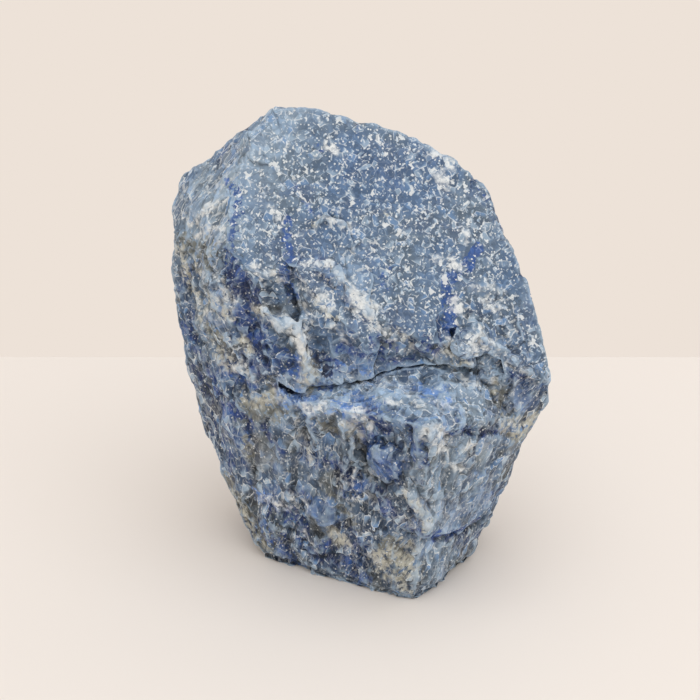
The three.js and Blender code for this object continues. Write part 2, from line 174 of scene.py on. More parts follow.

# Broader dark blue bands, partly real colour and partly painted shade in hollows, under ridges and low
# on the front.
NAVY_BANDS_AND_SHADE = (
    (2.2, 1.0, (229, 266), (234, 276), (240, 286), (243, 298), (244, 308), (242, 314)),
    (1.6, 1.0, (236, 270), (246, 280), (251, 296), (256, 303)),
    (1.4, 0.8, (228, 280), (236, 300), (240, 312)),
    (2.0, 1.0, (242, 318), (250, 330), (258, 342), (260, 356), (258, 368)),
    (1.4, 0.7, (246, 332), (254, 346), (256, 362)),
    (1.4, 0.9, (279, 384), (286, 390), (291, 393)),
    (2.2, 0.7, (186, 330), (192, 340), (199, 352)),
    (2.6, 0.75, (212, 380), (222, 396), (236, 410), (246, 424)),
    (2.2, 0.6, (266, 430), (270, 442), (278, 452)),
    (2.2, 0.6, (332, 462), (340, 468), (346, 476)),
    (1.8, 0.7, (362, 428), (370, 434)),
    (1.5, 1.0, (412, 532), (424, 536), (438, 535), (450, 533), (463, 528), (478, 519)),
    (1.2, 0.8, (442, 436), (455, 434), (470, 432), (490, 430), (510, 432)),
    (2.2, 0.9, (372, 412), (378, 420), (384, 428)),
    (2.4, 0.7, (318, 358), (326, 364), (330, 370)),
    (1.8, 0.6, (338, 350), (350, 348), (362, 356)),
    (2.2, 0.5, (376, 338), (388, 346), (396, 356)),
    (1.1, 0.9, (451, 332), (452, 340), (450, 346)),
    (1.4, 0.6, (500, 366), (510, 372), (522, 376)),
    (2.6, 0.6, (376, 352), (392, 358), (408, 360)),
    (2.4, 0.55, (410, 344), (424, 350), (436, 352)),
    (2.0, 0.5, (424, 336), (434, 342), (444, 346)),
    (2.4, 0.7, (290, 512), (300, 522), (306, 534)),
    (2.6, 0.6, (316, 550), (330, 560), (342, 566)),
    (2.4, 0.6, (196, 366), (204, 384), (212, 404)),
    (2.2, 0.5, (214, 420), (224, 440), (232, 462)),
    (2.6, 0.5, (330, 520), (344, 534), (356, 548)),
    (2.4, 0.5, (276, 506), (270, 520), (286, 536)),
    (2.6, 0.6, (300, 536), (318, 544), (334, 552)),
    (2.2, 0.55, (352, 532), (364, 544), (372, 556)),
    (2.4, 0.55, (284, 486), (292, 492), (300, 496)),
    (2.4, 0.6, (380, 492), (386, 504), (392, 516)),
)

# Patches of a clear, brighter blue.
CLEAR_BLUES = (
    (1.8, 0.7, (376, 462), (384, 470), (388, 478)),
    (2.6, 0.9, (312, 506), (322, 510), (330, 520)),
    (1.8, 0.8, (263, 522), (268, 530)),
    (2.0, 1.0, (283, 396), (292, 399), (300, 402)),
    (2.2, 0.8, (330, 404), (342, 408), (354, 412)),
    (2.2, 0.9, (352, 396), (362, 402)),
    (2.2, 0.55, (366, 400), (380, 408), (396, 412)),
    (2.0, 0.45, (420, 396), (436, 402), (452, 398)),
    (1.8, 0.5, (446, 404), (456, 414), (462, 424)),
    (2.4, 0.5, (344, 366), (356, 364), (366, 372)),
    (2.2, 0.8, (284, 400), (296, 396), (310, 398)),
    (2.4, 0.6, (300, 410), (316, 406), (330, 408)),
    (2.0, 0.7, (420, 388), (434, 392), (444, 388)),
    (2.4, 0.6, (258, 494), (270, 500), (282, 504)),
)

# Broken faces that are milkier than what lies round them, partly real colour and partly painted light
# that brightens faces the lamps leave too dim.
PALE_FACES_AND_LIGHT = (
    (5.0, 0.8, (268, 128), (250, 152), (232, 176)),
    (4.0, 0.8, (290, 110), (330, 112), (370, 122)),
    (5.0, 1.0, (190, 224), (206, 214), (222, 206)),
    (4.0, 1.0, (182, 236), (204, 232), (226, 224)),
    (4.0, 0.6, (240, 200), (250, 180), (262, 160)),
    (4.0, 0.6, (262, 404), (300, 398), (340, 404)),
    (5.0, 0.8, (330, 384), (360, 392), (400, 394), (440, 392), (480, 384)),
    (4.0, 0.5, (420, 412), (460, 416), (500, 408)),
    (4.0, 0.6, (460, 446), (456, 480), (452, 510)),
    (4.0, 0.5, (490, 440), (484, 470), (476, 500)),
    (2.2, 0.35, (408, 468), (414, 490), (424, 512)),
    (3.0, 0.6, (345, 262), (352, 280), (362, 292)),
    (4.0, 0.5, (206, 270), (212, 290), (216, 320)),
    (2.4, 0.5, (480, 342), (496, 354), (510, 366)),
    (4.0, 1.0, (188, 196), (204, 184), (220, 176)),
    (4.0, 0.8, (440, 500), (436, 540), (440, 566)),
    (4.0, 0.7, (186, 232), (200, 244), (212, 250)),
    (4.0, 1.0, (186, 216), (200, 208), (216, 200)),
    (3.0, 0.9, (192, 230), (206, 224), (222, 216)),
    (3.0, 0.5, (284, 456), (290, 470), (294, 486)),
)

# Cloudy olive grey patches.
OLIVE_PATCHES = (
    (3.2, 0.8, (250, 412), (262, 410), (280, 402), (296, 404)),
    (3.0, 0.7, (520, 434), (530, 428), (536, 418)),
    (2.6, 0.6, (498, 404), (502, 392)),
    (2.6, 0.7, (184, 240), (196, 246), (210, 246)),
    (2.2, 0.8, (196, 254), (206, 262)),
    (2.6, 0.6, (186, 268), (190, 282)),
    (2.2, 0.6, (244, 300), (252, 316)),
    (2.4, 0.6, (276, 276), (284, 280)),
    (2.8, 0.6, (212, 330), (222, 338)),
    (2.4, 0.5, (262, 380), (270, 384)),
    (2.2, 0.7, (310, 388), (320, 386)),
    (2.8, 0.55, (320, 420), (332, 430)),
    (2.2, 0.6, (248, 440), (252, 456)),
    (2.2, 0.5, (380, 470), (390, 500)),
    (3.0, 0.9, (230, 482), (238, 500), (248, 518), (260, 538)),
    (2.4, 0.5, (330, 500), (344, 512), (356, 524)),
)

# Cream patches, most of them along broken edges.
CREAM_PATCHES = (
    (1.8, 1.0, (306, 356), (307, 368), (310, 380)),
    (1.4, 0.8, (256, 308), (264, 312)),
    (1.2, 0.55, (312, 226), (318, 219), (326, 216)),
    (2.0, 0.8, (211, 298), (218, 304), (226, 312)),
    (1.8, 0.7, (196, 262), (200, 272)),
    (1.7, 0.8, (244, 343), (248, 350)),
    (2.2, 0.8, (218, 354), (226, 362)),
    (2.6, 0.6, (246, 398), (258, 404), (270, 398)),
    (1.6, 0.7, (276, 394), (284, 397)),
    (1.4, 0.6, (198, 318), (210, 334), (222, 350), (236, 364)),
    (0.6, 0.9, (389, 213), (392, 220)),
    (1.8, 0.8, (440, 358), (446, 352), (450, 344)),
    (1.0, 0.8, (452, 366), (460, 362), (466, 366)),
    (1.5, 0.9, (416, 502), (422, 512), (428, 524)),
    (1.0, 0.8, (406, 494), (413, 506), (420, 516)),
    (1.8, 0.8, (350, 426), (356, 434)),
    (1.0, 0.7, (356, 420), (354, 436), (356, 448)),
    (1.0, 0.6, (306, 440), (310, 450), (309, 462)),
    (1.8, 0.9, (331, 533), (338, 538), (343, 542)),
    (2.6, 0.8, (378, 560), (384, 568), (388, 574)),
    (2.4, 0.8, (396, 556), (408, 560), (414, 570)),
    (2.0, 0.6, (394, 574), (402, 586), (410, 592)),
    (1.8, 0.6, (400, 540), (414, 546)),
    (1.6, 0.6, (238, 504), (246, 522), (258, 538)),
    (1.6, 0.6, (258, 538), (270, 552)),
    (3.0, 0.7, (506, 424), (516, 428), (528, 424)),
    (1.0, 0.6, (494, 384), (498, 396)),
    (1.6, 0.7, (302, 384), (310, 390)),
    (1.4, 0.7, (232, 490), (242, 508), (252, 526)),
    (2.4, 0.7, (190, 282), (196, 296), (204, 306)),
    (2.0, 0.7, (178, 250), (184, 262), (186, 274)),
    (1.6, 0.6, (318, 300), (328, 310), (338, 318)),
    (1.4, 0.5, (396, 330), (406, 342), (410, 352)),
)

# White crests and lumps.
WHITE_CRESTS = (
    (0.9, 0.9, (326, 263), (334, 267), (342, 274)),
    (1.1, 1.0, (342, 274), (349, 283), (356, 293)),
    (1.9, 1.1, (357, 296), (364, 303), (371, 310)),
    (0.8, 0.8, (300, 262), (310, 264), (322, 264)),
    (0.8, 0.6, (344, 300), (350, 308), (356, 316)),
    (1.5, 1.0, (278, 324), (288, 321), (297, 326)),
    (1.7, 1.1, (298, 330), (303, 340), (306, 350)),
    (1.2, 0.8, (262, 309), (268, 314)),
    (1.4, 0.6, (252, 266), (258, 274), (266, 278)),
    (1.0, 0.6, (270, 208), (274, 215), (282, 222)),
    (1.4, 0.55, (318, 219), (330, 216), (342, 220), (352, 229)),
    (1.2, 0.6, (196, 300), (206, 312), (216, 322)),
    (1.8, 0.7, (236, 366), (244, 370), (251, 376)),
    (1.6, 0.7, (323, 298), (330, 304)),
    (1.7, 0.6, (436, 258), (442, 264)),
    (1.3, 0.9, (454, 302), (458, 308)),
    (1.3, 0.8, (452, 258), (456, 264)),
    (1.5, 0.6, (463, 231), (467, 238)),
    (1.4, 0.7, (330, 146), (334, 150)),
    (1.3, 0.8, (440, 180), (446, 186)),
    (1.6, 0.7, (436, 172), (444, 168), (450, 163)),
    (1.4, 0.7, (434, 149), (440, 152)),
    (1.7, 0.45, (476, 288), (488, 284), (500, 290)),
    (1.6, 0.5, (484, 300), (492, 308), (500, 304)),
    (1.0, 0.7, (488, 338), (500, 350), (514, 362), (526, 372), (532, 377)),
    (1.3, 0.6, (478, 328), (486, 336)),
    (1.1, 0.75, (462, 380), (474, 383), (488, 380)),
    (2.0, 0.9, (430, 430), (438, 436), (442, 446)),
    (1.2, 0.7, (444, 452), (446, 462)),
    (0.8, 0.5, (408, 470), (412, 486), (416, 500)),
    (0.8, 0.7, (418, 508), (424, 518), (430, 526)),
    (1.5, 0.8, (352, 410), (364, 414), (370, 424)),
    (1.4, 0.8, (302, 404), (312, 410), (322, 404)),
    (1.2, 0.7, (388, 400), (398, 404)),
    (1.2, 0.6, (404, 392), (414, 400), (424, 406)),
    (0.6, 0.7, (306, 418), (304, 434), (300, 448)),
    (0.6, 0.7, (296, 414), (292, 432), (290, 446)),
    (0.6, 0.6, (356, 448), (352, 464), (354, 480), (352, 500)),
    (1.2, 0.7, (457, 464), (460, 470)),
    (1.3, 0.6, (466, 450), (474, 444)),
    (1.2, 0.7, (360, 384), (372, 386), (384, 384)),
    (1.0, 0.6, (430, 398), (440, 404), (452, 404)),
    (1.6, 0.6, (214, 272), (222, 284), (230, 300)),
    (1.4, 0.6, (262, 268), (272, 276), (280, 282)),
    (1.4, 0.5, (296, 276), (304, 284), (312, 296)),
    (1.0, 0.6, (300, 300), (308, 312), (314, 322)),
    (1.2, 0.5, (330, 318), (340, 330), (346, 342)),
    (1.1, 0.6, (374, 324), (384, 331), (392, 340)),
    (1.6, 0.6, (264, 498), (276, 504), (288, 508)),
    (1.4, 0.6, (286, 494), (298, 500), (306, 506)),
    (1.2, 0.5, (300, 530), (310, 540), (318, 548)),
    (1.2, 0.6, (188, 224), (200, 214), (214, 206), (224, 200)),
    (1.0, 0.6, (196, 236), (208, 230), (222, 226)),
)

# Painted shade in the depth of cracks and pits.
CRACK_SHADE_STROKES = (
    (0.9, 1.0, (285, 287), (291, 296), (296, 304), (298, 314)),
    (0.9, 0.9, (279, 384), (286, 390), (293, 394)),
    (0.7, 0.7, (452, 370), (464, 370), (476, 370)),
    (0.7, 0.8, (344, 383), (354, 384), (362, 384)),
    (0.8, 0.7, (508, 382), (510, 396), (513, 412)),
    (1.6, 0.7, (314, 358), (322, 364), (328, 372)),
    (1.0, 0.6, (214, 252), (220, 258)),
)

# Smoother lumps, with less relief and fewer lines.
CALM_LUMPS = (
    (4.0, 1.0, (368, 452), (380, 456), (390, 470)),
    (3.4, 0.9, (318, 510), (326, 518), (322, 526)),
    (2.6, 0.8, (414, 430), (418, 446), (420, 460)),
    (4.0, 0.6, (262, 420), (266, 440), (272, 456)),
    (3.0, 0.7, (316, 340), (332, 346), (348, 352)),
    (3.0, 0.6, (270, 310), (284, 306), (296, 312)),
)

# The name under which the skin keeps each kind of mark.
MARKINGS = {
    "vein": VEINS,
    "navy": NAVY_BANDS_AND_SHADE,
    "bright": CLEAR_BLUES,
    "pale": PALE_FACES_AND_LIGHT,
    "olive": OLIVE_PATCHES,
    "cream": CREAM_PATCHES,
    "white": WHITE_CRESTS,
    # The dark marks are painted shade in cracks and pits.
    "dark": CRACK_SHADE_STROKES,
    "calm": CALM_LUMPS,
}

# Ridges and grooves worked into the skin: a reach and a height in mm, then places in the picture.
RIDGES_AND_GROOVES = (
    (1.4, 0.55, (318, 262), (330, 262), (340, 272), (350, 284), (360, 297), (371, 311)),
    (1.5, -0.7, (318, 276), (332, 288), (344, 302), (354, 317)),
    (1.2, 0.35, (314, 227), (319, 220), (330, 217), (341, 221), (350, 229)),
    (1.5, 0.8, (276, 324), (290, 321), (299, 328), (305, 340), (308, 352), (306, 366), (309, 382)),
    (1.5, -0.9, (308, 328), (316, 341), (320, 352)),
    (3.4, -0.9, (322, 366), (330, 372)),
    (0.9, -1.3, (283, 284), (290, 296), (296, 306), (299, 318)),
    (1.2, -0.45, (290, 393), (300, 392), (316, 388), (330, 386), (345, 384), (360, 383)),
    (1.0, -0.5, (452, 371), (464, 370), (476, 370)),
    (1.2, -1.6, (364, 446), (362, 460), (366, 474), (376, 486), (390, 489), (400, 480), (403, 466),
     (401, 452), (392, 444), (380, 440), (368, 442)),
    (3.2, 1.0, (378, 452), (386, 466)),
    (0.9, -0.9, (408, 428), (409, 446), (412, 466)),
    (0.9, -0.6, (428, 432), (427, 448), (426, 464)),
    (1.6, 0.6, (418, 432), (419, 448), (420, 464)),
    (1.4, 1.0, (406, 470), (412, 486), (418, 504), (426, 520), (430, 529)),
    (1.0, -0.8, (399, 490), (408, 510), (417, 527)),
    (1.4, 0.7, (434, 434), (441, 448), (446, 464)),
    (1.0, -1.1, (412, 534), (424, 539), (438, 538), (450, 536), (463, 531), (478, 522), (486, 516)),
    (0.9, -0.8, (446, 438), (470, 434), (500, 433), (515, 435)),
    (3.6, 0.9, (320, 514), (326, 518)),
    (1.0, -0.9, (306, 500), (301, 514), (308, 530), (324, 535), (338, 525), (341, 508)),
    (0.8, -0.6, (297, 412), (293, 432), (290, 452)),
    (0.8, 0.5, (301, 413), (298, 432), (295, 452)),
    (0.8, -0.7, (306, 414), (303, 434), (301, 456)),
    (0.8, 0.5, (311, 416), (309, 434), (308, 456)),
    (0.8, -0.6, (317, 418), (316, 440), (316, 458)),
    (0.9, -0.7, (345, 430), (348, 452), (350, 474)),
    (0.9, 0.5, (351, 430), (353, 452), (355, 476)),
    (0.9, -0.7, (357, 436), (358, 456), (360, 482)),
    (0.8, -1.1, (508, 378), (510, 396), (514, 414)),
    (0.8, -0.7, (492, 380), (496, 402), (498, 426)),
    (1.3, 1.0, (486, 338), (500, 350), (514, 362), (530, 376)),
    (1.1, -0.6, (496, 333), (512, 349), (527, 364)),
    (0.8, -1.3, (453, 327), (452, 338), (450, 349)),
    (1.0, -0.35, (484, 306), (488, 322), (490, 334)),
    (1.0, -0.35, (494, 298), (499, 318), (503, 336)),
    (1.0, -0.4, (504, 294), (511, 318), (517, 344)),
    (1.0, -0.35, (516, 300), (523, 324), (529, 350)),
    (1.3, 0.3, (274, 122), (258, 145), (240, 165), (228, 180)),
    (1.2, 0.3, (228, 180), (215, 195), (200, 212), (184, 222)),
    (0.9, -0.3, (262, 130), (250, 146), (232, 166), (214, 184)),
    (0.9, -0.3, (250, 134), (240, 150), (222, 170), (204, 192)),
    (0.9, -0.3, (246, 130), (228, 154), (206, 176)),
    (1.1, -0.9, (204, 248), (209, 270), (211, 290)),
    (1.1, -0.8, (222, 250), (226, 276), (228, 298)),
    (1.0, -0.8, (192, 262), (190, 290), (196, 312)),
    (2.2, 0.9, (212, 300), (222, 308)),
    (2.0, 0.8, (221, 356), (226, 360)),
    (2.0, 1.0, (240, 368), (250, 376)),
    (1.2, -0.9, (234, 320), (240, 340), (244, 360)),
    (1.1, -0.8, (256, 322), (262, 342), (266, 362)),
    (1.1, -0.7, (206, 326), (218, 348), (230, 368)),
    (1.1, -0.5, (229, 386), (246, 392), (262, 392), (276, 388)),
    (1.0, -0.8, (234, 498), (248, 522), (266, 552)),
    (1.0, -0.7, (246, 420), (250, 450), (256, 480)),
    (1.0, -0.7, (268, 420), (264, 436), (268, 456), (280, 462)),
    (1.1, -0.8, (284, 470), (294, 490), (300, 504)),
    (1.1, -0.8, (336, 468), (342, 490), (350, 508)),
    (1.1, -0.7, (372, 496), (380, 520), (388, 540)),
    (1.0, -0.7, (350, 520), (356, 546), (366, 568)),
    (1.0, -0.7, (276, 524), (290, 530), (304, 542)),
    (1.0, -0.8, (300, 550), (316, 556), (336, 556)),
    (1.0, -0.7, (442, 466), (446, 492), (446, 516)),
    (1.0, -0.7, (458, 448), (462, 476), (460, 506)),
    (1.0, -0.7, (476, 446), (478, 470), (472, 498)),
    (1.0, -0.6, (494, 444), (492, 466), (484, 490)),
    (1.0, -0.7, (430, 470), (434, 492), (436, 516)),
    (1.8, 0.4, (468, 286), (484, 284), (500, 290)),
    (1.4, -0.3, (474, 296), (486, 300), (496, 296)),
    (1.4, 0.8, (456, 350), (462, 360)),
    (1.6, 0.9, (474, 352), (480, 360)),
    (1.2, 0.8, (338, 388), (352, 392), (366, 390)),
    (1.0, -0.6, (330, 398), (344, 402), (358, 400)),
    (1.2, 0.7, (372, 392), (388, 396), (402, 392)),
    (1.0, -0.7, (380, 404), (396, 408), (410, 404)),
    (1.2, 0.7, (418, 386), (436, 390), (452, 386)),
    (1.0, -0.6, (426, 402), (444, 406), (460, 400)),
)

# The patches on the sides and back: what share of them has each colour, how far veins and other
# patches reach, and how far they run.
HIDDEN_SHARES = {
    "vein": 0.16, "navy": 0.16, "bright": 0.10, "white": 0.18, "cream": 0.20, "olive": 0.20,
}
HIDDEN_VEIN_REACH = (0.7, 1.3)
HIDDEN_PATCH_REACH = (1.3, 3.2)
HIDDEN_RUN = (2.0, 16.0)


class Graph:
    """Adds nodes to a tree and joins them, so that a finish reads as a list of steps."""

    def __init__(self, tree):
        self.tree = tree

    def put(self, socket, value):
        """Links the value to the socket if it is a socket too, and otherwise sets it there."""
        if isinstance(value, bpy.types.NodeSocket):
            self.tree.links.new(value, socket)
        else:
            socket.default_value = value

    def add(self, kind, values=None, **settings):
        """A new node of this kind, with its settings and what goes into its sockets."""
        node = self.tree.nodes.new(kind)
        for name, value in settings.items():
            setattr(node, name, value)
        for socket, value in (values or {}).items():
            self.put(node.inputs[socket], value)
        return node

    def math(self, operation, first, second=0.0, third=0.0):
        values = {0: first, 1: second, 2: third}
        return self.add("ShaderNodeMath", values, operation=operation).outputs[0]

    def times(self, first, second):
        return self.math("MULTIPLY", first, second)

    def vector(self, operation, first, second=(0.0, 0.0, 0.0)):
        values = {0: first, 1: second}
        return self.add("ShaderNodeVectorMath", values, operation=operation).outputs[0]

    def scaled(self, vector, scale):
        values = {0: vector, "Scale": scale}
        return self.add("ShaderNodeVectorMath", values, operation="SCALE").outputs[0]

    def dot(self, first, second):
        values = {0: first, 1: second}
        return self.add("ShaderNodeVectorMath", values, operation="DOT_PRODUCT").outputs["Value"]

    def step(self, value, low, high, start=0.0, end=1.0):
        """start below low, end above high, and a smooth turn between them."""
        values = {0: value, 1: low, 2: high, 3: start, 4: end}
        return self.add("ShaderNodeMapRange", values, interpolation_type="SMOOTHSTEP").outputs[0]

    def line(self, value, width, soft):
        """1 where value is within width of nought, fading out over soft."""
        near = self.math("ABSOLUTE", value)
        return self.step(near, width, width + soft, 1.0, 0.0)

    def blend(self, share, first, second):
        """A colour that goes from first to second as share goes from 0 to 1."""
        return self.add("ShaderNodeMix", {0: share, 6: first, 7: second}, data_type="RGBA").outputs[2]

    def pick(self, share, first, second):
        """The same for two places."""
        return self.add("ShaderNodeMix", {0: share, 4: first, 5: second}, data_type="VECTOR").outputs[1]

    def between(self, share, first, second):
        """The same for two numbers."""
        return self.add("ShaderNodeMix", {0: share, 2: first, 3: second}, data_type="FLOAT").outputs[0]

    def inverse(self, size):
        if isinstance(size, bpy.types.NodeSocket):
            return self.math("DIVIDE", 1.0, size)
        return 1.0 / size

    def cells(self, where, size, feature="F1", **settings):
        """Random cells of about size mm: distance in cells, a random colour, the cell's centre."""
        node = self.add("ShaderNodeTexVoronoi", feature=feature, **settings)
        self.put(node.inputs["Vector"], self.scaled(where, self.inverse(size)))
        node.inputs["Scale"].default_value = 1.0
        return node

    def clouds(self, where, size, detail=2.0, rough=0.5):
        """Soft noise with features of about size mm."""
        values = {"Vector": where, "Scale": 1.0 / size, "Detail": detail, "Roughness": rough}
        return self.add("ShaderNodeTexNoise", values)

    def shifted(self, where, amount):
        """Places moved aside in mm, so that patterns laid on them don't match."""
        return self.vector("ADD", where, (amount, amount * 0.7, -amount))


def colour(name, red, green, blue, description):
    """A colour property in linear light."""
    return FloatVectorProperty(
        name=name, description=description, default=(red, green, blue, 1.0),
        size=4, min=0.0, max=1.0, subtype="COLOR",
    )


def length(name, millimetres, description):
    """A length property, given in mm and kept in metres."""
    return FloatProperty(
        name=name, description=description, default=millimetres * MM,
        min=0.01 * MM, soft_max=50.0 * MM, precision=5, subtype="DISTANCE", unit="LENGTH",
    )


class QuartzStoneSettings(bpy.types.PropertyGroup):
    """Sizes and colours of the stone"""

    chip_edge: length("Chip edge", 1.6, "Longest edge of the first, coarser breaking")
    chip_size: length("Chip size", 4.0, "Width of the larger chips")
    chip_depth: length("Chip depth", 0.55, "Height of the larger chips")
    chip_scatter: length("Chip scatter", 0.22, "Random lift of each point of the larger chips")
    grain_edge: length("Grain edge", 0.88, "Longest edge of the second, finer breaking")
    grain_size: length("Grain size", 2.2, "Width of the grains")
    grain_depth: length("Grain depth", 0.28, "Height of the grains")
    grain_scatter: length("Grain scatter", 0.03, "Random lift of each point of the grains")
    seed: IntProperty(name="Seed", description="Changes every chip and patch", default=7, min=0)
    hidden_patches: IntProperty(
        name="Patches behind", description="Coloured patches on the sides and back",
        default=110, min=0, max=500,
    )
    slate: colour("Slate", 0.098, 0.164, 0.282, "Main blue grey of the stone")
    steel: colour("Steel", 0.132, 0.182, 0.246, "Greyer parts of the body")
    deep: colour("Deep blue", 0.034, 0.088, 0.240, "Darker parts of the body")
    olive: colour("Olive grey", 0.178, 0.178, 0.150, "Cloudy grey-green grains")
    milky: colour("Milky", 0.405, 0.520, 0.645, "Milky translucent grains")
    glassy: colour("Glassy", 0.170, 0.310, 0.550, "Bluer translucent grains")
    royal: colour("Royal blue", 0.028, 0.085, 0.285, "Narrow veins")
    # Dark blue bands; on the front also painted shade in hollows and under ridges.
    navy: colour("Navy", 0.014, 0.043, 0.175, "Dark bands")
    bright: colour("Bright blue", 0.085, 0.190, 0.460, "Clear blue patches")
    white: colour("White", 0.800, 0.810, 0.800, "Flecks, crests and fine lines")
    cream: colour("Cream", 0.620, 0.600, 0.510, "Cream patches")
    # Painted shade for the depth of cracks and pits.
    crack_shade: colour("Crack", 0.020, 0.024, 0.030, "Depth of cracks")


class QuartzStageSettings(bpy.types.PropertyGroup):
    """Floor, background and lights round the stone"""

    floor: colour("Floor", 0.850, 0.775, 0.715, "Colour of the table top")
    wall: colour("Wall", 0.847, 0.760, 0.686, "Colour of the pale wall far behind the table")
    air: FloatProperty(
        name="Room light", description="Strength of the light from all round",
        default=0.79, min=0.0, max=2.0,
    )
    table_back: length("Table back", 95.5, "How far the table reaches behind the origin")
    key_power: FloatProperty(
        name="Key light", description="Power of the large light at the front right",
        default=3.6, min=0.0, subtype="POWER", unit="POWER",
    )
    key_width: length("Key width", 1100.0, "Width of the key light")
    side_power: FloatProperty(
        name="Side light", description="Power of the soft light at the right",
        default=0.6, min=0.0, subtype="POWER", unit="POWER",
    )
    side_width: length("Side width", 600.0, "Width of the side light")
    lens: FloatProperty(
        name="Lens", description="Focal length of the camera in mm",
        default=LENS, min=10.0, max=300.0,
    )


def bake_modifiers(piece):
    """Turns what the modifiers make of the piece into its plain mesh, and removes them."""
    graph = bpy.context.evaluated_depsgraph_get()
    made = bpy.data.meshes.new_from_object(
        piece.evaluated_get(graph), preserve_all_data_layers=True, depsgraph=graph
    )
    old = piece.data
    piece.modifiers.clear()
    piece.data = made
    bpy.data.meshes.remove(old)


def plain_copy():
    """The solid's points in mm and its triangles, with the points that meet merged."""
    shape = bmesh.new()
    shape.from_mesh(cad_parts[NODE].data)
    bmesh.ops.remove_doubles(shape, verts=shape.verts, dist=0.001 * MM)
    bmesh.ops.triangulate(shape, faces=shape.faces)
    shape.verts.index_update()
    points = np.array([point.co for point in shape.verts], float) / MM
    faces = np.array([[point.index for point in face.verts] for face in shape.faces], np.int64)
    shape.free()
    return points, faces


def split_long(points, faces, limit):
    """Halves in one pass every edge longer than limit mm, or than FOOT_EDGES times it under the foot."""
    ends = np.sort(faces[:, [0, 1, 1, 2, 2, 0]].reshape(-1, 2), axis=1)
    edges, which = np.unique(ends, axis=0, return_inverse=True)
    which = which.reshape(-1, 3)
    first, second = points[edges[:, 0]], points[edges[:, 1]]
    reach = np.linalg.norm(first - second, axis=1)
    under = np.maximum(first[:, 2], second[:, 2]) < UNDER_FOOT
    halved = reach > np.where(under, FOOT_EDGES * limit, limit)
    middle = np.full(len(edges), -1)
    middle[halved] = len(points) + np.arange(halved.sum())
    points = np.vstack([points, (0.5 * (first + second))[halved]])
    middles = middle[which]
    cut = middles >= 0
    parts = []
    for turn in range(3):
        order = [(turn + step) % 3 for step in range(3)]
        (a, b, c), (ab, bc, ca) = faces[:, order].T, middles[:, order].T
        on_ab, on_bc, on_ca = cut[:, order].T
        only = on_ab & ~on_bc & ~on_ca
        parts += [(only, a, ab, c), (only, ab, b, c)]
        pair = on_ab & on_bc & ~on_ca
        parts += [(pair, ab, b, bc), (pair, a, ab, bc), (pair, a, bc, c)]
        if turn == 0:
            every, none = cut.all(axis=1), ~cut.any(axis=1)
            parts += [(none, a, b, c), (every, a, ab, ca), (every, ab, b, bc)]
            parts += [(every, ca, bc, c), (every, ab, bc, ca)]
    made = [np.stack([x[chosen], y[chosen], z[chosen]], axis=1) for chosen, x, y, z in parts]
    return points, np.vstack(made)


def refined(points, faces, limit):
    """The same surface with no edge much longer than limit mm, longest edges first."""
    for share in (8.0, 4.0, 2.0, 1.5, 1.0, 1.0):
        points, faces = split_long(points, faces, share * limit)
    return points, faces


def new_piece(name, points, faces):
    """A new object at the origin, from points in mm and triangles."""
    mesh = bpy.data.meshes.new(name)
    mesh.from_pydata((points * MM).tolist(), [], faces.tolist())
    mesh.update()
    piece = bpy.data.objects.new(name, mesh)
    bpy.context.scene.collection.objects.link(piece)
    return piece


def triangles(mesh):
    """Every triangle of a mesh of triangles, as rows of point numbers."""
    corners = np.zeros(len(mesh.loops), np.int32)
    mesh.loops.foreach_get("vertex_index", corners)
    return corners.reshape(-1, 3).astype(np.int64)


def places(mesh, kind="co"):
    """Every point's place in mm, or its outward direction with kind normal."""
    values = np.zeros(len(mesh.vertices) * 3, np.float32)
    if kind == "co":
        mesh.vertices.foreach_get("co", values)
        return values.reshape(-1, 3).astype(float) / MM
    mesh.vertex_normals.foreach_get("vector", values)
    return values.reshape(-1, 3).astype(float)


def move_to(mesh, points):
    """Moves every point of the mesh to its new place, in mm."""
    mesh.vertices.foreach_set("co", (points * MM).astype(np.float32).ravel())
    mesh.update()


def store(mesh, name, values):
    """Keeps one number for each point of the mesh under a name."""
    layer = mesh.attributes.new(name, "FLOAT", "POINT")
    layer.data.foreach_set("value", np.ascontiguousarray(values, np.float32))


def ease(values, low, high):
    """0 below low, 1 above high, and a smooth turn between them."""
    share = np.clip((values - low) / (high - low), 0.0, 1.0)
    return share * share * (3.0 - 2.0 * share)


def crooked(points):
    """Points moved a little to and fro, so that what is measured from them comes out uneven."""
    moved = points.copy()
    for size, amount in ((8.3, 0.35), (3.7, 0.3), (1.6, 0.2)):
        turned = points[:, [1, 2, 0]] + np.sin(points[:, [2, 0, 1]] * 2.3 / size) * size * 0.4
        moved += amount * np.sin(turned * 2.0 * np.pi / size)
    return moved


def line_of_sight(spot):
    """Direction in which the camera sees a place in its picture."""
    across = (spot[0] / PICTURE_WIDTH - 0.5) * SENSOR
    up = (0.5 - spot[1] / PICTURE_WIDTH) * SENSOR
    return Euler(CAMERA_TURN).to_matrix() @ Vector((across, up, -LENS))


def drawn_on(points, faces, strokes):
    """Strokes laid from the camera's picture onto a skin in mm: reach, strength and points."""
    skin = BVHTree.FromPolygons(points.tolist(), faces)
    eye = Vector(CAMERA_PLACE) / MM
    laid = []
    for reach, strength, *spots in strokes:
        met = [skin.ray_cast(eye, line_of_sight(spot))[0] for spot in spots]
        line = [tuple(spot) for spot in met if spot is not None]
        if line:
            laid.append((reach, strength, line))
    return laid


def distance_to_line(points, line):
    """Distance in mm from each point to a line through several points."""
    corners = np.array(line, float)
    nearest = np.linalg.norm(points - corners[0], axis=1)
    for start, end in zip(corners, corners[1:]):
        span = end - start
        along = np.clip((points - start) @ span / max(span @ span, 1e-9), 0.0, 1.0)
        gap = np.linalg.norm(points - start - along[:, None] * span, axis=1)
        nearest = np.minimum(nearest, gap)
    return nearest


